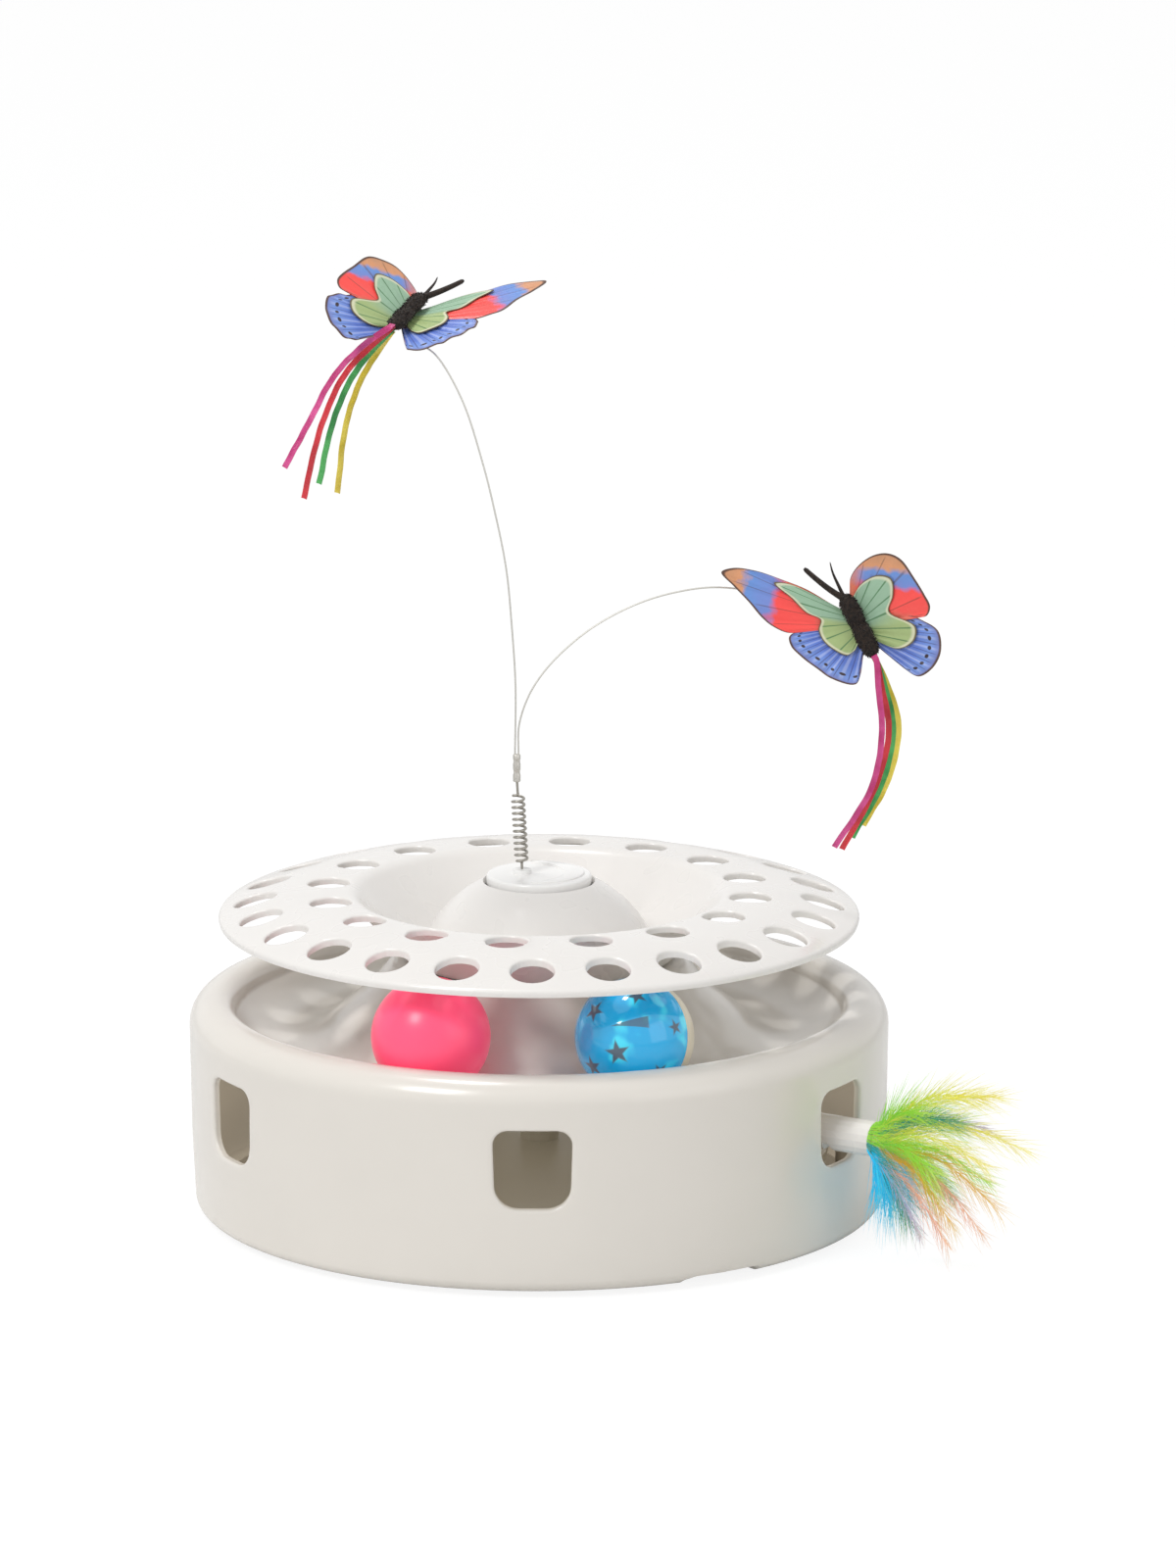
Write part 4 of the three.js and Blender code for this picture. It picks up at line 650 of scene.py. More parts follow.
def part_way(moulding, knot, target, share):
    column, row = knot
    turn, level = target
    start = moulding.first_at + column * moulding.pitch
    return start + (turn - start) * share, row + (level - row) * share


def cut(moulding, azimuth, outline, rows, half_columns, upright, rounding=0.8):
    """Leaves a hole in a moulding, with a rounded rim on its outer side."""
    hole = Hole(moulding, azimuth, outline, rows, half_columns, upright)
    around_edge = list(zip(hole.edge, hole.normals()))
    beyond = [hole.on_skin(0, p + n * rounding) for p, n in around_edge]
    inner_edge = [hole.on_skin(1, p) for p in hole.edge]
    loops = [[moulding.knot(0, *knot) for knot in hole.walk]]
    for share in OUTER_SHARES:
        loops.append([
            moulding.point(moulding.spot(0, *part_way(moulding, knot, target, share)))
            for knot, target in zip(hole.walk, beyond)
        ])
    for k in range(1, RIM_STEPS + 1):
        swing = math.radians(90 * k / RIM_STEPS)
        ring = []
        for p, n in around_edge:
            turn, level = hole.on_skin(0, p + n * (rounding * (1 - math.sin(swing))))
            sunk = moulding.outward(turn, level) * (rounding * (1 - math.cos(swing)))
            ring.append(moulding.point(moulding.spot(0, turn, level) - sunk))
        loops.append(ring)
    loops.append([moulding.point(moulding.spot(1, *place), 1) for place in inner_edge])
    loops.append([
        moulding.point(moulding.spot(1, *part_way(moulding, knot, target, 0.5)), 1)
        for knot, target in zip(hole.walk, inner_edge)
    ])
    loops.append([moulding.knot(1, *knot) for knot in hole.walk])
    for near, far in zip(loops, loops[1:]):
        moulding.band(near, far)


# %% [markdown]
# ## The drum
# One moulding makes the wall with its six windows, the rolled rim, the bowl that the balls run in
# and the hub in the middle. The bowl's floor is an arc a little wider than a ball, so the balls
# touch it at one point. A shallow finger notch is cut from the lower edge at the front right.

# %% Drum
DRUM_WALL = 2.5
DRUM_COLUMNS = 288
WINDOW_FIRST_AT = -1.1
DRUM_CORNERS = [
    (111.5, 0, 0), (118.1, 0, 4.2), (119.3, 26, 60), (120, 73, 9.5), (104.3, 73, 6.1),
    (104.15, 65.8, 2), (87, 46.63, 22.4), (69.9, 65.6, 8), (59.5, 74, 20), (49.5, 86, 6),
    (8.5, 86, 0.8), (7.5, 98, 0),
]
WINDOW_BAND = (26.4, 58.8)
WINDOW_HALF_COLUMNS = 8
WINDOW_ROUNDING = 1.0
WINDOW = rounded([(-13.4, 56.1, 5), (-12.6, 29.1, 8), (12.6, 29.1, 8), (13.4, 56.1, 5)], 9, 0.4)
NOTCH_AT = 31.5
NOTCH_HEIGHT = 2.4
NOTCH_HALF = 15
NOTCH_ENDS = 2.5


def notch(azimuth):
    """How far the lower edge is raised at an azimuth."""
    off = (azimuth - NOTCH_AT + 180) % 360 - 180
    reach = abs(off) * math.radians(1) * 118
    return NOTCH_HEIGHT * min(1, max(0, (NOTCH_HALF - reach) / NOTCH_ENDS))


drum = Moulding(DRUM_CORNERS, DRUM_WALL, DRUM_COLUMNS, WINDOW_FIRST_AT, notch)
rim_row = next(row for row in range(drum.rows) if drum.skins[0][row].y > 72)
window_rows = drum.rows_between(*WINDOW_BAND, True, 0, rim_row)
for i in range(6):
    cut(drum, WINDOW_FIRST_AT + 60 * i, WINDOW, window_rows, WINDOW_HALF_COLUMNS, True,
        WINDOW_ROUNDING)
drum_shape = drum.finished()
print("windows in rows", window_rows)

# %% Posts
POST_CIRCLE = 106.5
POST_RADIUS = 4.6
POST_FIRST_AT = 88.9
POST_BORE = 1.3
POST_FOOT = 3.2
POST_TOP = 22
for i in range(3):
    at = polar(POST_CIRCLE, POST_FIRST_AT + 120 * i, 0)
    drum_shape.rings([
        [at + Vector((radius * c, radius * s, height)) for c, s in around(24)]
        for radius, height in ((POST_BORE, POST_FOOT), (POST_RADIUS, POST_FOOT),
                               (POST_RADIUS, POST_TOP), (POST_BORE, POST_TOP))
    ], closed=True)
piece("drum", drum_shape, [shell_white], "base_shell")

# %% [markdown]
# ## The track cover
# The cover is a second moulding, pressed on pegs of the hub: a brim with two rings of round holes
# for paws to poke through, a funnel, and the dome that carries the turntable. Its holes are cut
# straight down, as the pins of a mould stand, so they look oval on the sloping brim.

# %% Cover
COVER_WALL = 2.4
COVER_FIRST_AT = -1.3
COVER_CORNERS = [
    (109.3, 99.1, 0), (109.9, 101.3, 1.5), (105.2, 103.1, 12), (89.3, 107.8, 40),
    (78, 109.3, 60), (63.5, 109.3, 6), (42.4, 86.3, 3), (31.9, 106.2, 42), (19.2, 112.6, 0),
]
HOLE_RINGS = [
    {"count": 24, "radius": 7.4, "circle": 97.2, "first_at": COVER_FIRST_AT,
     "band": (88.4, 105.7), "half_columns": 5},
    {"count": 16, "radius": 7.2, "circle": 72.9, "first_at": -8.6,
     "band": (64.4, 81.4), "half_columns": 7},
]

cover = Moulding(COVER_CORNERS, COVER_WALL, DRUM_COLUMNS, COVER_FIRST_AT)
valley = min(range(cover.rows // 2, cover.rows), key=lambda r: cover.skins[0][r].y)
brim_rows = [cover.rows_between(*ring["band"], False, 4, valley) for ring in HOLE_RINGS]
for ring, rows in zip(HOLE_RINGS, brim_rows):
    radius, circle = ring["radius"], ring["circle"]
    outline = [Vector((radius * s, circle + radius * c)) for c, s in around(48)]
    for i in range(ring["count"]):
        at = ring["first_at"] + 360 / ring["count"] * i
        cut(cover, at, outline, rows, ring["half_columns"], False)
    print(ring["count"], "round holes in rows", rows)
piece("perforated_cover", cover.finished(), [cover_white], "track_cover")

# %% [markdown]
# ## The turntable
# The white disc in the dome's mouth turns with the lures. It has a rounded edge, a raised
# half-moon to grip, and a small boss that holds the foot of the spring. The disc is a turned
# outline; the half-moon is an outline raised with a rounded upper edge.

# %% Turntable
TABLE_TOP = 115.1
SPRING_X = -5.8


def turned(shape, outline, middle=(0, 0), columns=96, finish=0, **values):
    """Turns an open (radius, height) outline, with its ends near the axis, about an upright."""
    rings = []
    for radius, height in outline:
        rings.append([
            Vector((middle[0] + radius * c, middle[1] + radius * s, height))
            for c, s in around(columns)
        ])
    shape.rings(rings, finish=finish, **values)


def raised(shape, outline, bottom, top, edge):
    """Raises a closed outline to a slab with a rounded upper edge."""
    def inset(by):
        ring = []
        for i, p in enumerate(outline):
            along = outline[(i + 1) % len(outline)] - outline[i - 1]
            ring.append(p + Vector((-along.y, along.x)).normalized() * by)
        return ring
    levels = [(0, bottom)]
    for k in range(4):
        swing = math.radians(30 * k)
        levels.append((edge * (1 - math.cos(swing)), top - edge * (1 - math.sin(swing))))
    shape.rings([[Vector((p.x, p.y, height)) for p in inset(by)] for by, height in levels])


table = Shape()
disc = rounded([(0.4, 100.1, 0.1), (5.5, 100.1, 0.4), (5.5, 111.4, 0.4), (18, 111.4, 0.7),
                (18, TABLE_TOP, 1.0), (0.4, TABLE_TOP, 0.1)], 15)
turned(table, disc)
moon = [Vector((15.5 * math.cos(math.radians(a)), 15.5 * math.sin(math.radians(a))))
        for a in range(-100, 101, 5)]
moon += [Vector((-7 + 15.6 * math.cos(math.radians(a)), 15.6 * math.sin(math.radians(a))))
         for a in range(74, -75, -6)]
raised(table, moon, TABLE_TOP - 0.3, TABLE_TOP + 0.7, 0.35)
boss = [(0.3, TABLE_TOP - 0.5), (3.2, TABLE_TOP - 0.5), (3.2, TABLE_TOP + 1.1),
        (3.08, TABLE_TOP + 1.38), (2.8, TABLE_TOP + 1.5), (0.3, TABLE_TOP + 1.5)]
turned(table, boss, (SPRING_X, 0), 32)
piece("turntable_disc", table, [disc_white], "turntable")

# %% [markdown]
# ## Spring, ferrule and wires
# A close steel spring stands on the turntable, leans a little, and holds a crimped ferrule from
# which two thin wires rise. A sweep carries a round section along each path. The section is moved
# without twisting from point to point, which a curve object would do as well, but the mesh stays
# closed and its end caps are ours.

# %% Smooth lines
def smooth_line(stops, steps):
    """A centripetal curve through the stops, with a number of steps between two of them."""
    stops = [Vector(s) for s in stops]
    first = stops[0] * 2 - stops[1]
    last = stops[-1] * 2 - stops[-2]
    chain = [first, *stops, last]
    line = [stops[0]]
    for i in range(1, len(chain) - 2):
        four = chain[i - 1:i + 3]
        times = [0.0]
        for a, b in zip(four, four[1:]):
            times.append(times[-1] + max((b - a).length, 1e-6) ** 0.5)
        for k in range(1, steps + 1):
            t = times[1] + (times[2] - times[1]) * k / steps
            level = [
                a.lerp(b, (t - times[j]) / (times[j + 1] - times[j]))
                for j, (a, b) in enumerate(zip(four, four[1:]))
            ]
            level = [
                a.lerp(b, (t - times[j]) / (times[j + 2] - times[j]))
                for j, (a, b) in enumerate(zip(level, level[1:]))
            ]
            line.append(level[0].lerp(level[1], (t - times[1]) / (times[2] - times[1])))
    return line


# %% Sweeps
def headings(line):
    count = len(line)
    return [(line[min(i + 1, count - 1)] - line[max(i - 1, 0)]).normalized() for i in range(count)]


def sweep(shape, line, section, side=Vector((1, 0, 0)), widths=None, **values):
    """Carries a section of (across, up) points along a line; widths scales it at each point."""
    rings = []
    for i, (centre, ahead) in enumerate(zip(line, headings(line))):
        side = (side - ahead * side.dot(ahead)).normalized()
        up = ahead.cross(side)
        scale = widths[i] if widths else 1
        rings.append([centre + (side * a + up * b) * scale for a, b in section])
    shape.rings(rings, **values)


def circle(radius, sides):
    return [(radius * c, radius * s) for c, s in around(sides)]


# %% Spring
SPRING_FOOT = 117.2
SPRING_HEAD = 146.6
SPRING_TAIL = 2.2
SPRING_TURNS = 12
COIL_RADIUS = 2.05
SPRING_LEAN = -1.6
SPRING_STEPS = 28

spring_height = SPRING_HEAD - SPRING_FOOT
spring_line = [Vector((0, 0, -SPRING_TAIL)), Vector((0, 0, -SPRING_TAIL / 2))]
curls = SPRING_TURNS * SPRING_STEPS
for i in range(curls + 1):
    from_end = min(i, curls - i) / (0.75 * SPRING_STEPS)
    ease = 1 if from_end >= 1 else (1 - math.cos(math.pi * from_end)) / 2
    turn = 2 * math.pi * i / SPRING_STEPS
    rise = SPRING_TAIL / 2 + (spring_height - 2 * SPRING_TAIL) * i / curls
    spring_line.append(Vector((COIL_RADIUS * ease * math.cos(turn),
                               COIL_RADIUS * ease * math.sin(turn), rise)))
spring_line += [Vector((0, 0, spring_height - SPRING_TAIL / 2)),
                Vector((0, 0, spring_height + SPRING_TAIL))]
spring_line = [
    Vector((SPRING_X + p.x + SPRING_LEAN * p.z / spring_height, p.y, SPRING_FOOT + p.z))
    for p in spring_line
]
spring_steel = bare_metal("spring_steel", tint(168, 164, 156), 0.3)
wire_steel = bare_metal("wire_steel", tint(212, 210, 204), 0.35)
spring = Shape()
sweep(spring, spring_line, circle(0.45, 10))
piece("spring", spring, [spring_steel], "lure_spring")

# %% Wires
FERRULE_X = SPRING_X + SPRING_LEAN * (1 + SPRING_TAIL / spring_height)
FERRULE_TOP = 156.7
WIRE_START = 153.7
WIRE_SPREAD = 0.6
WIRE_RADIUS = 0.32
LURES = {
    # the middle of each butterfly, and the degrees its wings lean back from upright
    "left": {"x": -43.9, "z": 306.6, "tilt": 67.7, "mirror": 1},
    "right": {"x": 108.7, "z": 201.3, "tilt": 15, "mirror": -1},
}


def placed(lure, u, v, w):
    """A point of a butterfly: across its wings, up them, and off them towards the viewer."""
    tilt = math.radians(lure["tilt"])
    return Vector((
        lure["x"] + u,
        v * math.sin(tilt) - w * math.cos(tilt),
        lure["z"] + v * math.cos(tilt) + w * math.sin(tilt),
    ))


WIRE_STOPS = {
    "left": [(-7.9, 0, 180.5), (-9.1, 0, 200.9), (-11, 0, 221.3), (-15, 0, 241.9),
             (-18.9, 0, 257.9), (-25.9, 0, 279.8), (-34.7, 1, 294.8), (-41.5, 3, 299.2)],
    "right": [(-6.7, 0, 166.9), (-3.4, 0, 177.1), (1.9, 0, 185.6), (9.9, 0, 194.1),
              (19.9, 0, 201.9), (33.2, 1, 208.7), (46.4, 3, 212.4), (61.4, 6, 213.5),
              (85, 8.5, 209), (103, 8, 202.3)],
}
for side, lure in LURES.items():
    start = FERRULE_X - WIRE_SPREAD * lure["mirror"]
    stops = [(start, 0, WIRE_START), (start, 0, FERRULE_TOP + 1), *WIRE_STOPS[side],
             placed(lure, 0, 0, -4), placed(lure, 0, 0, 2.8)]
    wire = Shape()
    sweep(wire, smooth_line(stops, 8), circle(WIRE_RADIUS, 8))
    piece(f"{side}_wire", wire, [wire_steel], f"{side}_lure_wire")

# %% Ferrule
ferrule = Shape()
crimp = [(0.2, 147.2), (1.1, 147.2), (1.3, 147.4), (1.3, 149.6), (1.12, 150.1), (1.12, 151.0),
         (1.3, 151.5), (1.3, 153.4), (1.14, 153.9), (1.14, 154.6), (1.3, 155.1), (1.3, 156.5),
         (1.15, 156.7), (0.2, 156.7)]
turned(ferrule, crimp, (FERRULE_X, 0), 32)
ferrule_metal = bare_metal("crimped_ferrule", tint(206, 203, 196), 0.3)
piece("ferrule", ferrule, [ferrule_metal], "wire_ferrule")

# %% [markdown]
# ## The balls
# Two plastic balls of 40 mm run in the bowl. One is a plain opaque pink, with a little painted
# glow that makes it brighter than the lamps do. The other is made of two halves: the front one is
# clear blue with a sprinkle of plain grey stars, and the rear one is cream. A half is a dome of
# rings from its pole, closed by the flat of the seam. The clear plastic is drawn as a glossy blue
# skin with a little painted glow in place of the light that would pass through it, because the
# halves are solid inside.

# %% Ball shapes
BALL_RADIUS = 20
BALL_CIRCLE = 87
BALL_LEVEL = 78.3
PINK_AT = -24.6
BLUE_AT = 21.4
BLUE_FACING = Vector((-0.47, -0.85, 0.23)).normalized()


def dome(shape, middle, facing, radius, upto, seam, rows=36, columns=96):
    """Part of a ball around a facing pole, up to an angle from it, closed by its seam."""
    turn = Vector((0, 0, 1)).rotation_difference(facing)
    outline = [(radius * math.sin(upto * k / rows), radius * math.cos(upto * k / rows))
               for k in range(rows + 1)]
    outline[0] = (0.02, radius)
    outline += seam
    shape.rings([
        [middle + turn @ Vector((r * c, r * s, z)) for c, s in around(columns)] for r, z in outline
    ])


pink_middle = polar(BALL_CIRCLE, PINK_AT, BALL_LEVEL)
pink_shape = Shape()
dome(pink_shape, pink_middle, Vector((0, 0, 1)), BALL_RADIUS, math.pi * 0.999, [], 64)
# Painted light: the pink ball glows a little in its own pinks, so that it looks brighter than the
# lamps make it.
pink = moulded("pink_ball", tint(255, 84, 122), 0.95, 0.3, 0.03, 11, Emission_Strength=0.28)
pink.wear(Emission_Color=pink.mix(pink.noise(11), tint(244, 70, 108), tint(255, 84, 122)))
piece("pink_ball_shell", pink_shape, [pink], "pink_ball")

# %% [markdown]
# ## Print on the blue ball
# Stars that stay sharp at any distance can be drawn from a formula. In the plane that touches the
# ball at a star's middle, an angle is folded into one fifth of a turn, and the star's edge is one
# straight line there. The same plane gives a soft streak for the wedge that crosses the front.

# %% Star masks
blue = Finish("clear_blue_half")
blue_middle = polar(BALL_CIRCLE, BLUE_AT, BALL_LEVEL)
out_of_ball = (blue.place() - tuple(blue_middle * MM)) / (BALL_RADIUS * MM)
STAR_POINTS = 5
FIFTH = 2 * math.pi / STAR_POINTS
STAR_WAIST = 0.42
STARS = [
    # azimuth and height on the ball in degrees, size as a share of its radius, roll in degrees
    (-17, -1, 0.22, 12), (-55, 35, 0.2, -10), (4, 58, 0.18, 20), (26, -22, 0.16, 30),
    (-48, -20, 0.2, 10), (-10, -44, 0.22, 40), (46, 20, 0.14, 5),
]


def flat_spot(azimuth, height, roll=0):
    """The (across, up) of a surface point in the plane that touches the ball there."""
    facing = polar(math.cos(math.radians(height)), azimuth, math.sin(math.radians(height)))
    across = Vector((-facing.y, facing.x, 0)).normalized()
    up = facing.cross(across)
    turn = Matrix.Rotation(math.radians(roll), 3, facing)
    settings = {"operation": "DOT_PRODUCT"}
    return [
        blue.node("ShaderNodeVectorMath", settings, {0: out_of_ball, 1: tuple(way)}, "Value")
        for way in (turn @ across, turn @ up, facing)
    ]


def star(azimuth, height, size, roll=0):
    across, up, depth = flat_spot(azimuth, height, roll)
    away = blue.maths("SQRT", across * across + up * up)
    angle = blue.maths("ARCTAN2", across, up)
    folded = blue.maths("ABSOLUTE", blue.maths("WRAP", angle, FIFTH / 2, -FIFTH / 2))
    x = away * blue.maths("COSINE", folded)
    y = away * blue.maths("SINE", folded)
    waist_x = size * STAR_WAIST * math.cos(FIFTH / 2)
    waist_y = size * STAR_WAIST * math.sin(FIFTH / 2)
    edge = (x - size) * waist_y - y * (waist_x - size)
    inside = blue.step(edge / size, 0.012, -0.012)
    return inside * blue.step(depth, 0.2, 0.3)


# %% Print of the blue ball
print_mask = star(*STARS[0])
for row in STARS[1:]:
    print_mask = blue.maths("MAXIMUM", print_mask, star(*row))
across, up, depth = flat_spot(-6, 28, 8)
wedge_half = (across + 0.36) * 0.16
tail = blue.step(wedge_half - blue.maths("ABSOLUTE", up), 0, 0.015)
tail = tail * blue.step(across, 0.34, 0.3) * blue.step(depth, 0.3, 0.5)
pale = blue.step(blue.noise(11, 2), 0.55, 0.7)
body_blue = blue.mix(pale, tint(0, 160, 214), tint(58, 208, 234))
printed = blue.mix(blue.maths("MAXIMUM", print_mask, tail * 0.8), body_blue, tint(66, 84, 100))
blue_ripple = blue.bump(blue.noise(9, 2), 0.05)
# Painted light: the blue half glows with its own print, in place of the light that clear plastic
# lets through.
blue.wear(printed, blue.noise(4, 2) * 0.1 + 0.06, blue_ripple, Coat_Weight=0.7,
          Emission_Color=printed, Emission_Strength=0.22)
print("stars", len(STARS))

# %% Halves of the blue ball
LAP = 0.55
FRONT_STEP, REAR_STEP = BALL_RADIUS - 0.9, BALL_RADIUS - 1.1
REAR_LAP = -LAP + 0.35
SEAM_GAP = 0.15
front_shape = Shape()
dome(front_shape, blue_middle, BLUE_FACING, BALL_RADIUS, math.pi / 2,
     [(FRONT_STEP, 0), (FRONT_STEP, LAP), (0.02, LAP)], 40)
piece("blue_ball_front", front_shape, [blue], "blue_ball_front_half")
cream = moulded("cream_ball_half", tint(236, 226, 202), 0.95, 0.35, 0.04, 12)
rear_shape = Shape()
dome(rear_shape, blue_middle - BLUE_FACING * SEAM_GAP, -BLUE_FACING, BALL_RADIUS, math.pi / 2,
     [(REAR_STEP, 0), (REAR_STEP, REAR_LAP), (0.02, REAR_LAP)], 40)
piece("blue_ball_rear", rear_shape, [cream], "blue_ball_rear_half")

# %% [markdown]
# ## Butterfly wings
# Each butterfly is cut from printed film: two forewings and two hindwings below, and a smaller
# see-through pair on top. A wing is a fan of spokes from its root to its outline, so how far a
# point lies along its spoke, and which spoke it is on, are known for every point. The print reads
# those two values: veins run along spokes, and bands and edges lie across them. The design is a
# plain banded one of our own, in colours like those of the real film.

# %% Wing outlines
WINGS = {
    "fore": [
        ((3, -1), [(3, 11.3), (2.7, 16.5), (-0.2, 20.7), (-5.1, 23.7), (-9.7, 24.1), (-13.9, 22),
                   (-18.5, 15.6), (-21.8, 10.1), (-23.8, 5.8), (-22.6, 2.8), (-17.7, 2.8),
                   (-10.8, 4.6)]),
        ((-2, 0), [(9.3, 7.5), (18.1, 12.6), (25.8, 15.6), (34.8, 18.6), (42.6, 19.6),
                   (46.7, 18.1), (42.6, 13.5), (37.4, 8), (33, 2.8), (29.2, -0.3), (23.7, -2.5),
                   (15.5, -1)]),
    ],
    "hind": [
        ((2, 0), [(-9, 3.5), (-17, 3.2), (-21.8, 1.1), (-26.5, -2.3), (-27.5, -9.1),
                  (-24.9, -14.6), (-20.3, -17.4), (-15.9, -15), (-7.9, -7.8)]),
        ((-3, 1), [(15.5, -1), (22, -2.4), (23.7, -3.9), (23, -7), (19.3, -10.8), (13.7, -15),
                   (9.3, -18), (1.1, -19.9), (-0.7, -16.3), (-1.2, -11.2)]),
    ],
    "top": [
        ((3, -1), [(1.9, 10.1), (-0.9, 14.3), (-6.1, 16.9), (-10.8, 15.6), (-11.5, 10.1),
                   (-10.2, 4.6), (-19, -0.6), (-18.7, -5.2), (-14.9, -7.8), (-10.8, -7.4),
                   (-7.4, -4.8)]),
        ((-3, 1), [(9.1, 7.2), (18.1, 12), (24.6, 14.5), (28.9, 14.5), (23.2, 9.6), (18.1, 4.6),
                   (13.1, 2), (13.7, -1.4), (12.1, -5.2), (7.8, -8.7), (3.9, -10.1),
                   (1.1, -8.2)]),
    ],
}
BODY_LEAN = 26
FOLD_LINE = 3.9
LONG_SLOPE = 0.12
SHORT_SLOPE = 0.6
WING_LEVELS = {"fore": (0.3, 0.6), "hind": (-0.05, 0.25), "top": (0.95, 1.3)}
WING_RINGS = 14
WING_HEART = 0.1  # where the first ring lies on its spokes
WING_TIPS = {True: (-0.7, 24), False: (46.7, 18.1)}  # of the short side and of the long one
PLEATS = {"fore": 5, "hind": 8, "top": 4}
PLEAT_DEPTH = {"fore": 0.22, "hind": 0.3, "top": 0.15}
print("wings of each butterfly", sum(len(pair) for pair in WINGS.values()))


# %% The fold
def folded(u, v, mirror):
    """How far the film rises beside the body, with a soft bend along the fold line."""
    lean = math.radians(-BODY_LEAN * mirror)
    across = u * math.cos(lean) + v * math.sin(lean)
    rise = 0
    for facing, slope in ((mirror, LONG_SLOPE), (-mirror, SHORT_SLOPE)):
        beyond = facing * across - FOLD_LINE
        rise += slope * (beyond + math.sqrt(beyond * beyond + 0.8)) / 2
    return rise


# %% Sheets
def sheet(shape, under, over, finish=0, **values):
    """A closed sheet between two grids of points that match one to one."""
    rows, columns = len(over), len(over[0])
    points = [p for grid in (over, under) for row in grid for p in row]
    lower = rows * columns
    faces = []
    for i in range(rows - 1):
        for j in range(columns - 1):
            a = i * columns + j
            b, c, d = a + 1, a + columns + 1, a + columns
            faces += [(a, b, c, d), (lower + d, lower + c, lower + b, lower + a)]
    rim = list(range(columns)) + [i * columns + columns - 1 for i in range(1, rows)]
    rim += [(rows - 1) * columns + j for j in range(columns - 2, -1, -1)]
    rim += [i * columns for i in range(rows - 2, 0, -1)]
    for k, a in enumerate(rim):
        b = rim[(k + 1) % len(rim)]
        faces.append((a, lower + a, lower + b, b))
    doubled = {name: list(known) * 2 for name, known in values.items()}
    shape.add(points, faces, finish, **doubled)


# %% A wing
def wing(shape, kind, root, rim, lure, finish):
    mirror = lure["mirror"]
    outline = smooth_line([(x, y, 0) for x, y in rim], 7)
    root = Vector((*root, 0))
    tip = Vector((*WING_TIPS[root.x > 0], 0)) - root
    low, high = WING_LEVELS[kind]
    reaches = [WING_HEART + (1 - WING_HEART) * (k / (WING_RINGS - 1)) ** 0.8
               for k in range(WING_RINGS)]
    over, under, reach_of, fan_of, span_of = [], [], [], [], []
    for reach in reaches:
        over.append([])
        under.append([])
        for k, end in enumerate(outline):
            fan = k / (len(outline) - 1)
            flat_point = root.lerp(end, reach)
            u, v = flat_point.x * mirror, flat_point.y
            lift = folded(u, v, mirror)
            lift += PLEAT_DEPTH[kind] * reach * math.sin(2 * math.pi * PLEATS[kind] * fan)
            over[-1].append(placed(lure, u, v, high + lift))
            under[-1].append(placed(lure, u, v, low + lift))
            reach_of.append(reach)
            fan_of.append(fan)
            span_of.append((flat_point - root).dot(tip) / tip.length_squared)
    sheet(shape, under, over, finish, reach=reach_of, fan=fan_of, span=span_of)


# %% [markdown]
# ## Wing prints
# The forewing goes from a coral patch through a blue band to a tan tip. The hindwing is
# periwinkle with pale pleats, a tan inner corner and a row of small dots inside its edge. The top
# pair is mint above and yellow-green below, with a cream edge. The film's outline is dark brown,
# and olive on the top pair. A print could be painted as a picture, but a few ramps and masks from
# the values of each point stay sharp at any distance and need no file.

# %% Parts of a print
BROWN = tint(84, 56, 44)


def wing_finish(name):
    finish = Finish(name)
    reach, fan = finish.value("reach"), finish.value("fan")
    drift = finish.noise(5, 3) - 0.5
    return finish, reach + drift * 0.1, fan, reach


def vein_mask(finish, fan, reach, count, width):
    saw = finish.maths("ABSOLUTE", finish.maths("FRACT", fan * count) - 0.5)
    return finish.step(saw, width, width * 0.4) * finish.step(reach, 0.98, 0.9)


def outlined(finish, colour, reach, fan, ink):
    edge = finish.step(reach, 0.965, 0.985)
    sides = finish.step(finish.maths("ABSOLUTE", fan - 0.5), 0.484, 0.493)
    return finish.mix(finish.maths("MAXIMUM", edge, sides), colour, ink)


def film(finish, colour, fan, roughness):
    crease = finish.maths("SINE", fan * 90) * 0.3 + finish.noise(1.5, 2)
    gloss = finish.noise(3) * 0.2 + roughness
    return finish.wear(colour, gloss, finish.bump(crease, 0.12))


# %% Forewing
fore_print, reach, fan, true_reach = wing_finish("forewing_print")
span = fore_print.value("span") + (fore_print.noise(4, 3) - 0.5) * 0.2
colour = fore_print.node("ShaderNodeValToRGB", {"stops": [
    (0.0, tint(120, 84, 70)), (0.18, tint(214, 118, 96)), (0.32, tint(250, 84, 78)),
    (0.58, tint(250, 78, 74)), (0.66, tint(118, 138, 208)), (0.8, tint(104, 146, 214)),
    (0.87, tint(216, 152, 110)), (1.0, tint(202, 146, 108)),
]}, {"Fac": span})
stripe = fore_print.step(fan, 0.26, 0.14) * fore_print.step(reach, 0.4, 0.6)
colour = fore_print.mix(stripe * 0.75, colour, tint(222, 136, 104))
colour = fore_print.mix(vein_mask(fore_print, fan, true_reach, 7, 0.05) * 0.5, colour, BROWN)
film(fore_print, outlined(fore_print, colour, true_reach, fan, BROWN), fan, 0.28)
print("forewing print", len(fore_print.tree.nodes), "nodes")

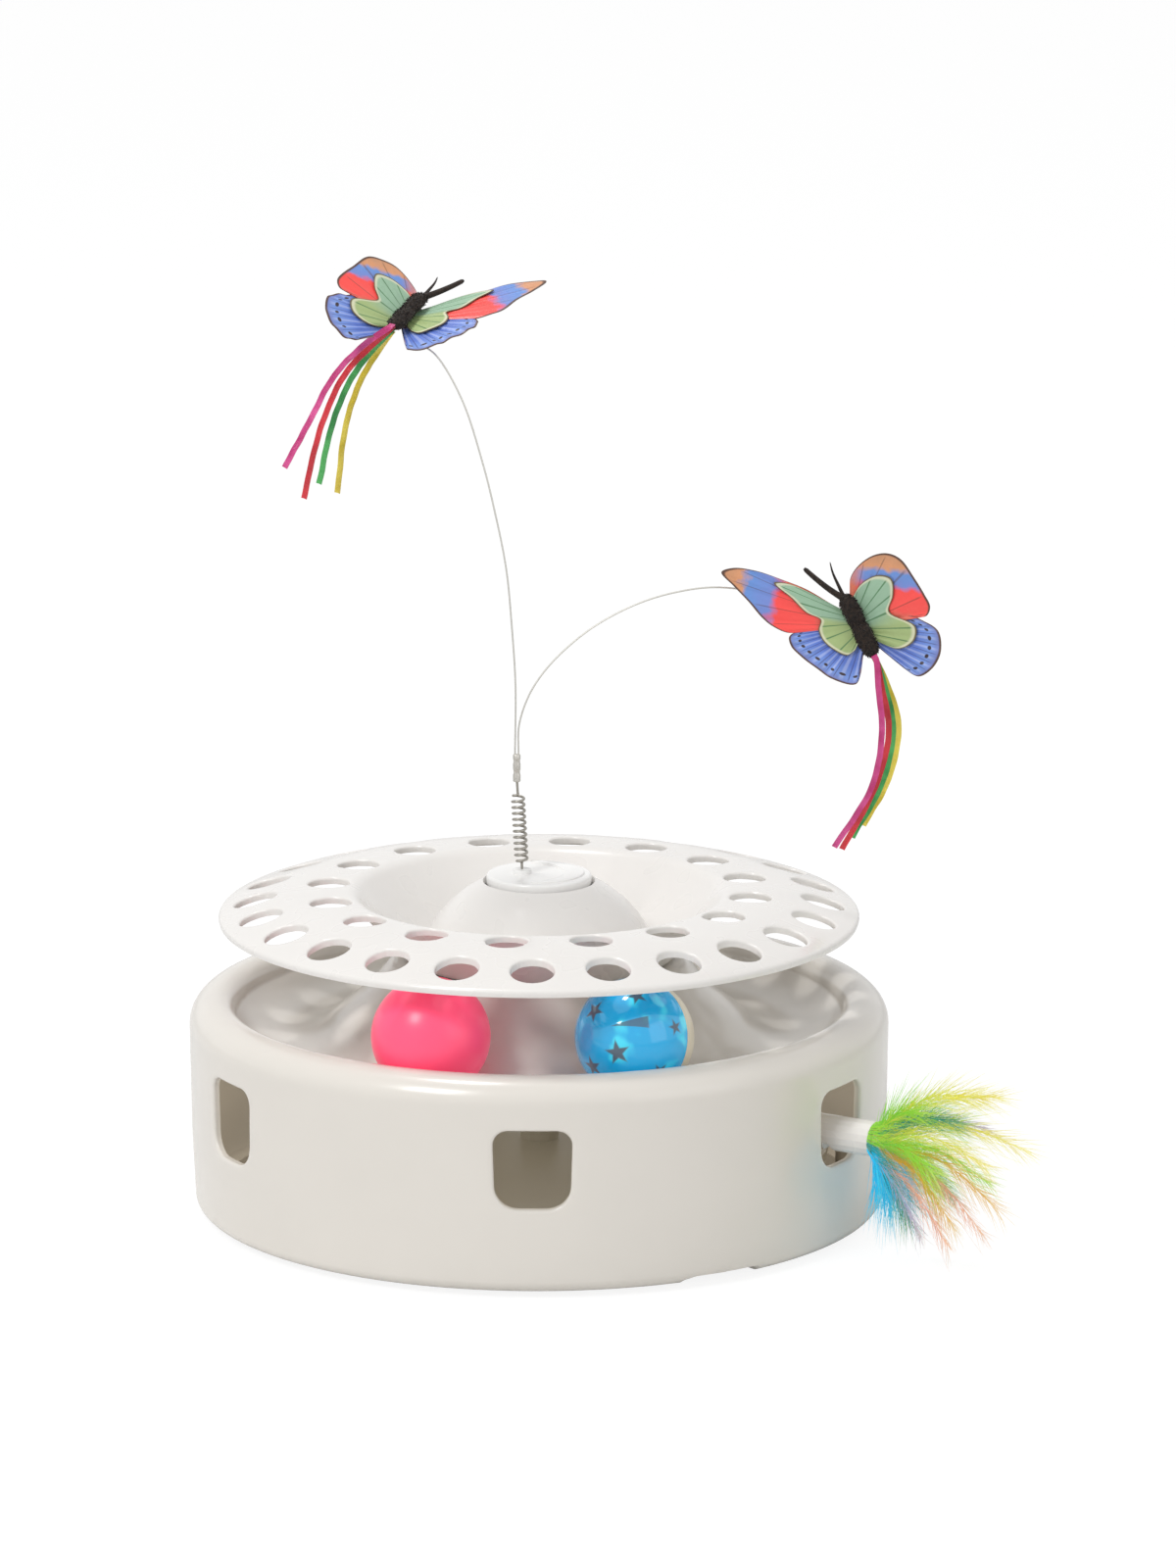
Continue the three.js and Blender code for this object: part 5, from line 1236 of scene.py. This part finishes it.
# %% Hindwing
hind_print, reach, fan, true_reach = wing_finish("hindwing_print")
colour = hind_print.node("ShaderNodeValToRGB", {"stops": [
    (0.0, tint(196, 150, 116)), (0.22, tint(206, 164, 132)), (0.34, tint(104, 130, 208)),
    (0.7, tint(88, 118, 204)), (0.9, tint(120, 152, 222)), (1.0, tint(120, 128, 190)),
]}, {"Fac": reach})
colour = hind_print.mix(vein_mask(hind_print, fan, true_reach, 15, 0.2) * 0.45, colour,
                        tint(186, 198, 238))
colour = hind_print.mix(vein_mask(hind_print, fan + 0.033, true_reach, 15, 0.06) * 0.7, colour,
                        tint(58, 56, 110))
corner = hind_print.step(fan + (hind_print.noise(4, 2) - 0.5) * 0.2, 0.8, 0.92)
colour = hind_print.mix(corner * 0.85, colour, tint(192, 142, 104))
dot_x = (hind_print.maths("FRACT", fan * 15) - 0.5) * 0.085
dot_y = true_reach - 0.87
dots = hind_print.step(hind_print.maths("SQRT", dot_x * dot_x + dot_y * dot_y), 0.024, 0.017)
colour = hind_print.mix(dots, colour, tint(52, 38, 46))
film(hind_print, outlined(hind_print, colour, true_reach, fan, BROWN), fan, 0.28)
print("hindwing print", len(hind_print.tree.nodes), "nodes")

# %% Top wings
top_print, reach, fan, true_reach = wing_finish("top_wing_film")
halves = top_print.step(fan + (reach - 0.5) * 0.1, 0.5, 0.62)
colour = top_print.mix(halves, tint(152, 186, 158), tint(164, 184, 124))
colour = top_print.mix(top_print.step(reach, 0.5, 0.15) * 0.6, colour, tint(98, 140, 90))
colour = top_print.mix(vein_mask(top_print, fan, true_reach, 9, 0.08) * 0.85, colour,
                       tint(70, 118, 74))
colour = top_print.mix(top_print.step(true_reach, 0.9, 0.95) * 0.8, colour,
                       tint(222, 220, 190))
film(top_print, outlined(top_print, colour, true_reach, fan, tint(104, 92, 62)), fan, 0.3)
print("top wing print", len(top_print.tree.nodes), "nodes")

# %% Wing pieces
for side, lure in LURES.items():
    print_shape = Shape("reach", "fan", "span")
    for number, kind in enumerate(("fore", "hind")):
        for root, rim in WINGS[kind]:
            wing(print_shape, kind, root, rim, lure, number)
    piece(f"{side}_wings", print_shape, [fore_print, hind_print], f"{side}_butterfly_wings")
    top_shape = Shape("reach", "fan", "span")
    for root, rim in WINGS["top"]:
        wing(top_shape, "top", root, rim, lure, 0)
    piece(f"{side}_top_wings", top_shape, [top_print], f"{side}_butterfly_top_wings")

# %% [markdown]
# ## Fuzzy bodies
# The body is a stub of dark brown pile with a waist between thorax and abdomen, and two feelers:
# a short pointed one and a long blunt one. The pile is some hundreds of short tapered hairs, which
# show at the outline as only real geometry does.

# %% Pile and outline of a body
BODY_LONG = 24
BODY_HALF = 3.2
BODY_FLOOR = 1.8
BODY_THICK = 4
BODY_RINGS = 31
HAIRS = 620
HAIR_RADIUS = 0.14
FEELERS = [
    # points across and up the body, radius at the foot, share of it left at the tip
    (((4.6, 8.6), (6.9, 13.5), (8.9, 18), (9.8, 21.5)), 0.75, 0.25),
    (((4.8, 8.8), (10.2, 12.4), (15, 16.2), (18.6, 19.4)), 1.15, 0.7),
]

felt = Finish("body_pile")
pile = felt.noise(0.9, 4)
felt.wear(felt.mix(felt.step(pile, 0.3, 0.7), tint(16, 11, 9), tint(48, 36, 28)), 0.95,
          felt.bump(pile, 0.35), Sheen_Weight=0.1, Sheen_Roughness=0.5)


def body_half(share):
    """Half of the body's width at a share of its length, tail to head."""
    waist = 0.2 * math.exp(-((share - 0.52) / 0.07) ** 2)
    ends = min(1, (share / 0.1) ** 0.5 if share < 0.1 else 1, ((1 - share) / 0.14) ** 0.5)
    return BODY_HALF * max(0.06, ends * (0.82 + 0.14 * math.sin(math.pi * share)) - waist)


print("body half width in the middle", round(body_half(0.5), 2), "and at the chest",
      round(body_half(0.75), 2))

# %% Bodies
for side, lure in LURES.items():
    mirror = lure["mirror"]
    lean = math.radians(-BODY_LEAN * mirror)
    draw = random.Random(31 if side == "left" else 47)

    def on_body(share, turn, beyond=0.0):
        half = body_half(share)
        v = (share - 0.5) * BODY_LONG
        across = (half + beyond) * math.cos(turn)
        middle = BODY_FLOOR + BODY_THICK / 2
        thick = BODY_THICK / 2 * half / (BODY_HALF * 0.96) + beyond
        w = middle + thick * math.sin(turn)
        w = max(w, BODY_FLOOR)
        u = across * math.cos(lean) - v * math.sin(lean)
        return placed(lure, u, across * math.sin(lean) + v * math.cos(lean), w)

    body_shape = Shape()
    body_shape.rings([
        [on_body(i / (BODY_RINGS - 1), 2 * math.pi * j / 20) for j in range(20)]
        for i in range(BODY_RINGS)
    ])
    for _ in range(HAIRS):
        share = draw.uniform(0.02, 0.98)
        turn = draw.uniform(-0.15 * math.pi, 1.15 * math.pi)
        long = draw.uniform(0.3, 0.8)
        drift = draw.uniform(-0.05, 0.03)
        foot = on_body(share, turn)
        tip = on_body(min(0.995, max(0.005, share + drift)), turn, long)
        sweep(body_shape, [foot, foot.lerp(tip, 0.6), tip], circle(HAIR_RADIUS, 3),
              Vector((0.3, 1, 0.2)), [1, 0.8, 0.15])
    for stops, radius, taper in FEELERS:
        line = smooth_line([placed(lure, u * mirror, v, 3.4 + 0.02 * v) for u, v in stops], 5)
        count = len(line) - 1
        widths = [1 + (taper - 1) * i / count for i in range(count + 1)]
        widths[-1] *= 0.6
        sweep(body_shape, line, circle(radius, 10), Vector((0, 1, 0.3)), widths)
    piece(f"{side}_body", body_shape, [felt], f"{side}_butterfly_body")

# %% [markdown]
# ## Ribbon tails
# Four strips of shiny ribbon hang from the tail of each body. They are cut square, curl a little
# across their width and crinkle along it. A flat section is carried down each path, and its middle
# line is pushed out and in to make the crinkle.

# %% Ribbon paths
RIBBON_WIDTH = 2.1
RIBBON_THICK = 0.22
RIBBON_PITCH = 0.95
BODY_TAIL = 12
CRINKLE = 0.28
CRINKLE_TURN = 0.9  # radians from one point of the path to the next
CRINKLE_SWELL = 0.23  # the same for the slow rise and fall of the crinkle
CRINKLE_FROM = 16  # the point where crinkle and curl start
CRINKLE_GROWS = 14  # the points that they take to reach their full size
CURL = 0.22
RIBBON_PATHS = {
    "left": {
        "pink": [(-58, -9.5, 300.5), (-68.5, -9, 289.5), (-77.5, -9.5, 273), (-85.5, -10, 258.2)],
        "red": [(-56.5, -7, 299), (-65.5, -4.5, 288.5), (-73.5, -2, 270), (-79.4, 0, 245.6)],
        "green": [(-55.5, -4.5, 297.8), (-63, -0.8, 287), (-69.5, 2.5, 271), (-74.3, 6, 249.6)],
        "yellow": [(-54, -2, 296.5), (-60, 3, 285.5), (-65, 7, 270), (-68.3, 12, 245.2)],
    },
    "right": {
        "pink": [(115.2, -9, 182), (116.5, -9, 166), (113.1, -8.5, 147), (100.6, -8, 126)],
        "red": [(116.3, -7, 182), (119, -5.4, 166), (114.8, -4.4, 147), (103.4, -3, 124)],
        "green": [(117.3, -4.8, 182), (120.6, -1.5, 166), (117.2, 0, 147), (107, 2, 127)],
        "yellow": [(118.2, -2.5, 182), (122.6, 2.4, 166), (119.4, 4.4, 147), (111, 7, 130)],
    },
}
print("ribbons", sum(len(paths) for paths in RIBBON_PATHS.values()))


# %% Ribbon finish
def shiny(name, deep, light):
    finish = Finish(name)
    # Painted sheen: patches of the lighter colour, scattered by noise, stand in for the shine of
    # satin ribbon.
    painted_sheen = finish.step(finish.noise(9, 2), 0.35, 0.65)
    weave = finish.maths("SINE", finish.noise(0.6, 1) * 20)
    return finish.wear(finish.mix(painted_sheen, deep, light), finish.noise(2) * 0.2 + 0.25,
                       finish.bump(weave, 0.03), Sheen_Weight=0.25)


ribbon_finish = {
    "pink": shiny("pink_ribbon", tint(186, 34, 110), tint(218, 78, 148)),
    "red": shiny("red_ribbon", tint(190, 26, 42), tint(222, 48, 60)),
    "green": shiny("green_ribbon", tint(34, 140, 64), tint(80, 184, 96)),
    "yellow": shiny("yellow_ribbon", tint(216, 188, 44), tint(240, 216, 84)),
}
print("ribbon colours", list(ribbon_finish))

# %% Ribbons
for side, lure in LURES.items():
    lean = math.radians(-BODY_LEAN * lure["mirror"])
    body_top = BODY_FLOOR + BODY_THICK

    def beyond_tail(reach, layer):
        v = -BODY_TAIL - reach
        w = body_top - RIBBON_PITCH * (layer + 0.65)
        return placed(lure, -v * math.sin(lean), v * math.cos(lean), w)

    across = placed(lure, math.cos(lean), math.sin(lean), 0) - placed(lure, 0, 0, 0)
    for layer, (colour, stops) in enumerate(RIBBON_PATHS[side].items()):
        line = smooth_line([beyond_tail(-0.6, layer), beyond_tail(1.2, layer), *stops], 14)
        ribbon = Shape()
        over, under = [], []
        for i, (centre, ahead) in enumerate(zip(line, headings(line))):
            wide = (across - ahead * across.dot(ahead)).normalized()
            up = ahead.cross(wide)
            settled = min(1, max(0, (i - CRINKLE_FROM) / CRINKLE_GROWS))
            wave = math.sin(i * CRINKLE_TURN + layer * 2)
            crinkle = CRINKLE * settled * wave * math.sin(i * CRINKLE_SWELL + layer)
            rows = [[], []]
            for j in range(7):
                share = j / 3 - 1
                curl = CURL * settled * share * share
                middle = centre + wide * (share * RIBBON_WIDTH / 2) + up * (crinkle + curl)
                rows[0].append(middle + up * RIBBON_THICK / 2)
                rows[1].append(middle - up * RIBBON_THICK / 2)
            over.append(rows[0])
            under.append(rows[1])
        sheet(ribbon, under, over)
        stands_for = f"{side}_ribbon_{colour}"
        piece(f"{side}_{colour}_ribbon", ribbon, [ribbon_finish[colour]], stands_for)

# %% [markdown]
# ## The feather tuft
# Dyed plumes are tied to the end of the rod. Their barbs are so loose that they leave a fine
# curved quill on all sides, and thin wisps between the plumes break the outline. Hair curves could
# draw them too, but would have to be turned into a mesh for the export, so each barb is swept as a
# closed strand. A strand keeps its dye and how far along the plume it lies, and one finish reads
# both.

# %% Where the tuft starts
ROD_AT = 58.9
ROD_LEVEL = 39.4
ROD_END = 132.3
out_way = polar(1, ROD_AT, 0)
side_way = Vector((out_way.y, -out_way.x, 0))
up_way = Vector((0, 0, 1))


def tuft_point(reach, aside, height):
    return out_way * reach + side_way * aside + up_way * height


print("end of the rod", [round(v, 1) for v in tuft_point(ROD_END, 0, ROD_LEVEL)])

# %% Plume list
DYES = {"cyan": 0.05, "teal": 0.18, "lime": 0.32, "yellow": 0.46, "gold": 0.6, "peach": 0.75,
        "lavender": 0.92}
PLUMES = [
    # tip reach, tip height, sideways, bow, vane width, dye, barbs' looseness
    (183, 62, 4, 5, 6.0, "yellow", 0.7), (172, 58, -5, 6, 5.4, "yellow", 0.8),
    (190, 42, -3, 7, 5.6, "yellow", 0.7), (180, 37, 6, 6, 5.0, "yellow", 0.9),
    (182, 21, 2, 7, 5.4, "gold", 0.6), (174, 27, -7, 5, 4.6, "lime", 0.8),
    (166, 13, 5, 7, 5.0, "gold", 0.7), (174, 10, -2, 7, 4.2, "peach", 0.8),
    (165, 7, 7, 5, 4.2, "peach", 0.8), (160, 33, 9, 4, 6.5, "lime", 0.9),
    (158, 46, -8, 4, 7.0, "lime", 0.9), (150, 52, 3, 3, 7.0, "lime", 0.9),
    (156, 27, 0, 4, 6.5, "lime", 0.9), (158, 20, -9, 4, 4.6, "teal", 0.8),
    (150, 14, 8, 4, 5.2, "teal", 0.8), (141, 20, 3, 3, 7.5, "cyan", 0.9),
    (135, 23, -4, 2, 7.5, "cyan", 0.9), (144, 25, -5, 3, 7.0, "cyan", 0.9),
    (138, 26, 6, 2, 7.5, "cyan", 0.9),
    (172, 45, -10, 5, 3.2, "lavender", 0.9), (156, 10, 10, 4, 3.4, "lavender", 0.9),
    (168, 50, 2, 4, 4.0, "teal", 0.8),
]
print("plumes", len(PLUMES))

# %% Strands
draw = random.Random(5)
tuft = Shape("dye", "along")
STRAND = [(-0.2, 0), (0, -0.07), (0.2, 0), (0, 0.07)]


def strand(foot, way, length, droop, tone, along, width=1.0):
    """One fine barb: it leaves its foot along a way and sinks towards its tip."""
    sag = up_way * (-droop * length)
    middle = foot + way * (length * 0.5) + sag * 0.25
    tip = foot + way * length + sag
    sweep(tuft, [foot, middle, tip], STRAND, side_way + up_way * 0.3, [width, width * 0.8, 0.1],
          dye=tone + draw.uniform(-0.025, 0.025), along=along)


# %% Plumes
BARBS = 150
for tip_reach, tip_height, aside, bow, vane, dye, loose in PLUMES:
    tone = DYES[dye]
    start = tuft_point(ROD_END - 0.5, aside * 0.4, ROD_LEVEL + (tip_height - ROD_LEVEL) * 0.13)
    end = tuft_point(tip_reach, aside, tip_height)
    middle = start.lerp(end, 0.5) + up_way * bow
    quill = smooth_line([start, middle, end], 16)
    count = len(quill) - 1
    sweep(tuft, quill, circle(0.3, 6), widths=[1 - 0.85 * i / count for i in range(count + 1)],
          dye=tone, along=0.0)
    for k in range(BARBS):
        share = (0.02 + 0.94 * (k + draw.random()) / BARBS) ** 1.15
        place = min(share, 0.999) * count
        foot = quill[int(place)].lerp(quill[int(place) + 1], place % 1)
        ahead = (quill[int(place) + 1] - quill[int(place)]).normalized()
        flank = ahead.cross(side_way).normalized()
        roll = draw.uniform(0, 2 * math.pi)
        off = flank * math.cos(roll) + side_way * (math.sin(roll) * 0.8)
        lean = draw.uniform(0.15, 0.5) + 0.35 * loose * draw.random()
        length = vane * draw.uniform(1.6, 3.2) * (0.55 + 0.6 * math.sin(math.pi * share))
        strand(foot, (ahead + off * lean).normalized(), length,
               draw.uniform(0, 0.16) * loose, tone, share)
print("barbs", len(PLUMES) * BARBS)

# %% Wisps and collar
WISPS = 150
COLLAR = 260
COLLAR_RADIUS = 5.6
for _ in range(WISPS):
    tip_reach, tip_height, aside, bow, vane, dye, loose = draw.choice(PLUMES)
    start = tuft_point(ROD_END, draw.uniform(-3, 3), ROD_LEVEL + draw.uniform(-3, 3))
    beyond = draw.uniform(0.8, 1.06)
    reach = start + (tuft_point(tip_reach, aside + draw.uniform(-4, 4), tip_height +
                                draw.uniform(-7, 4)) - start) * beyond
    middle = start.lerp(reach, 0.5) + up_way * (bow * draw.uniform(0.4, 1.2))
    line = smooth_line([start, middle, reach], 6)
    fine = [1 - 0.8 * i / (len(line) - 1) for i in range(len(line))]
    sweep(tuft, line, circle(0.13, 3), widths=fine, dye=DYES[dye], along=0.6)
for _ in range(COLLAR):
    turn = draw.uniform(0, 2 * math.pi)
    height = math.sin(turn)
    foot = tuft_point(ROD_END - 0.9, COLLAR_RADIUS * math.cos(turn),
                      ROD_LEVEL + COLLAR_RADIUS * height)
    tone = DYES["lime"] if height > 0.1 else DYES["cyan"] if height < -0.25 else DYES["teal"]
    fall = 0.55 if height < -0.25 else 0.1
    way = (out_way + side_way * (0.4 * math.cos(turn)) + up_way * (height * 0.5 - fall * 1.2))
    strand(foot, way.normalized(), draw.uniform(6, 15), 0.1, tone, 0.3)
print("wisps", WISPS, "collar strands", COLLAR)

# %% Tuft root and finish
bead = [(0.2, -1.2), (1.6, -1.2), (2.3, -0.4), (2.6, 0.9), (2.2, 2.2), (1.2, 3.0), (0.2, 3.2)]
rings = []
for radius, reach in bead:
    rings.append([
        tuft_point(ROD_END + reach, radius * c, ROD_LEVEL + radius * s) for c, s in around(24)
    ])
tuft.rings(rings, dye=0.32, along=0.0)
dyed = Finish("dyed_feather")
dye, along = dyed.value("dye"), dyed.value("along")
colour = dyed.node("ShaderNodeValToRGB", {"stops": [
    (0.0, tint(76, 212, 240)), (0.11, tint(60, 198, 230)), (0.18, tint(74, 158, 144)),
    (0.32, tint(166, 220, 84)), (0.46, tint(228, 226, 114)), (0.6, tint(220, 184, 78)),
    (0.75, tint(236, 190, 168)), (0.92, tint(198, 190, 212)),
]}, {"Fac": dye + (along - 0.4) * 0.05})
shade = dyed.noise(0.8, 3)
colour = dyed.mix(dyed.step(shade, 0.42, 0.25) * 0.25, colour, tint(70, 110, 60))
colour = dyed.mix(dyed.step(along, 0.7, 1.0) * 0.35, colour, tint(246, 238, 196))
# Painted light: the barbs glow a little in their own dye, in place of the light that shines
# through fine feathers.
dyed.wear(colour, shade * 0.2 + 0.6, dyed.bump(shade, 0.05), Emission_Color=colour,
          Emission_Strength=0.2)
feather = piece("dyed_feather_tuft", tuft, [dyed], "feather_tuft")
rod_end = tuple(tuft_point(ROD_END, 0, ROD_LEVEL) * MM)
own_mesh(feather)

# %% [markdown]
# ## The rest of the frame's pieces
# Everything that isn't remade keeps the frame's own mesh, because its shape is right: the rod, the
# plate, the feet, and the drive inside. Each gets the finish of its material, and its edges are
# shaded as the moulded or stamped piece would be.

# %% Finishes by material slot
slot_finish = {
    "shell_plastic": shell_white,
    "cover_plastic": cover_white,
    "inner_plastic": moulded("rod_plastic", tint(224, 222, 214), 0.94, 0.4),
    "gear_plastic": moulded("gear_nylon", tint(232, 226, 205), 0.93, 0.45, 0.03, 8),
    "black_plastic": moulded("black_plastic", tint(34, 34, 36), 0.8, 0.42, 0.06, 5),
    "foot_rubber": moulded("foot_rubber", tint(58, 57, 56), 0.8, 0.8, 0.12, 3),
    "steel": bare_metal("bright_steel", tint(176, 174, 170), 0.28),
    "motor_can": bare_metal("motor_can", tint(188, 188, 190), 0.34),
    "brass": bare_metal("brass", tint(196, 160, 86), 0.3),
    "board_laminate": moulded("green_board", tint(40, 96, 58), 0.75, 0.5, 0.04, 4),
    "cell_can": moulded("cell_sleeve", tint(70, 84, 92), 0.8, 0.3, 0.02, 9),
}
dressed = 0
for node, held in frame["nodes"].items():
    if held.hide_render:
        continue
    finish = slot_finish[slot_of[node]]
    held.data.materials.clear()
    held.data.materials.append(finish.material)
    held.data.shade_smooth()
    held.data.set_sharp_from_angle(angle=math.radians(32))
    dressed += 1
print("frame pieces dressed", dressed)
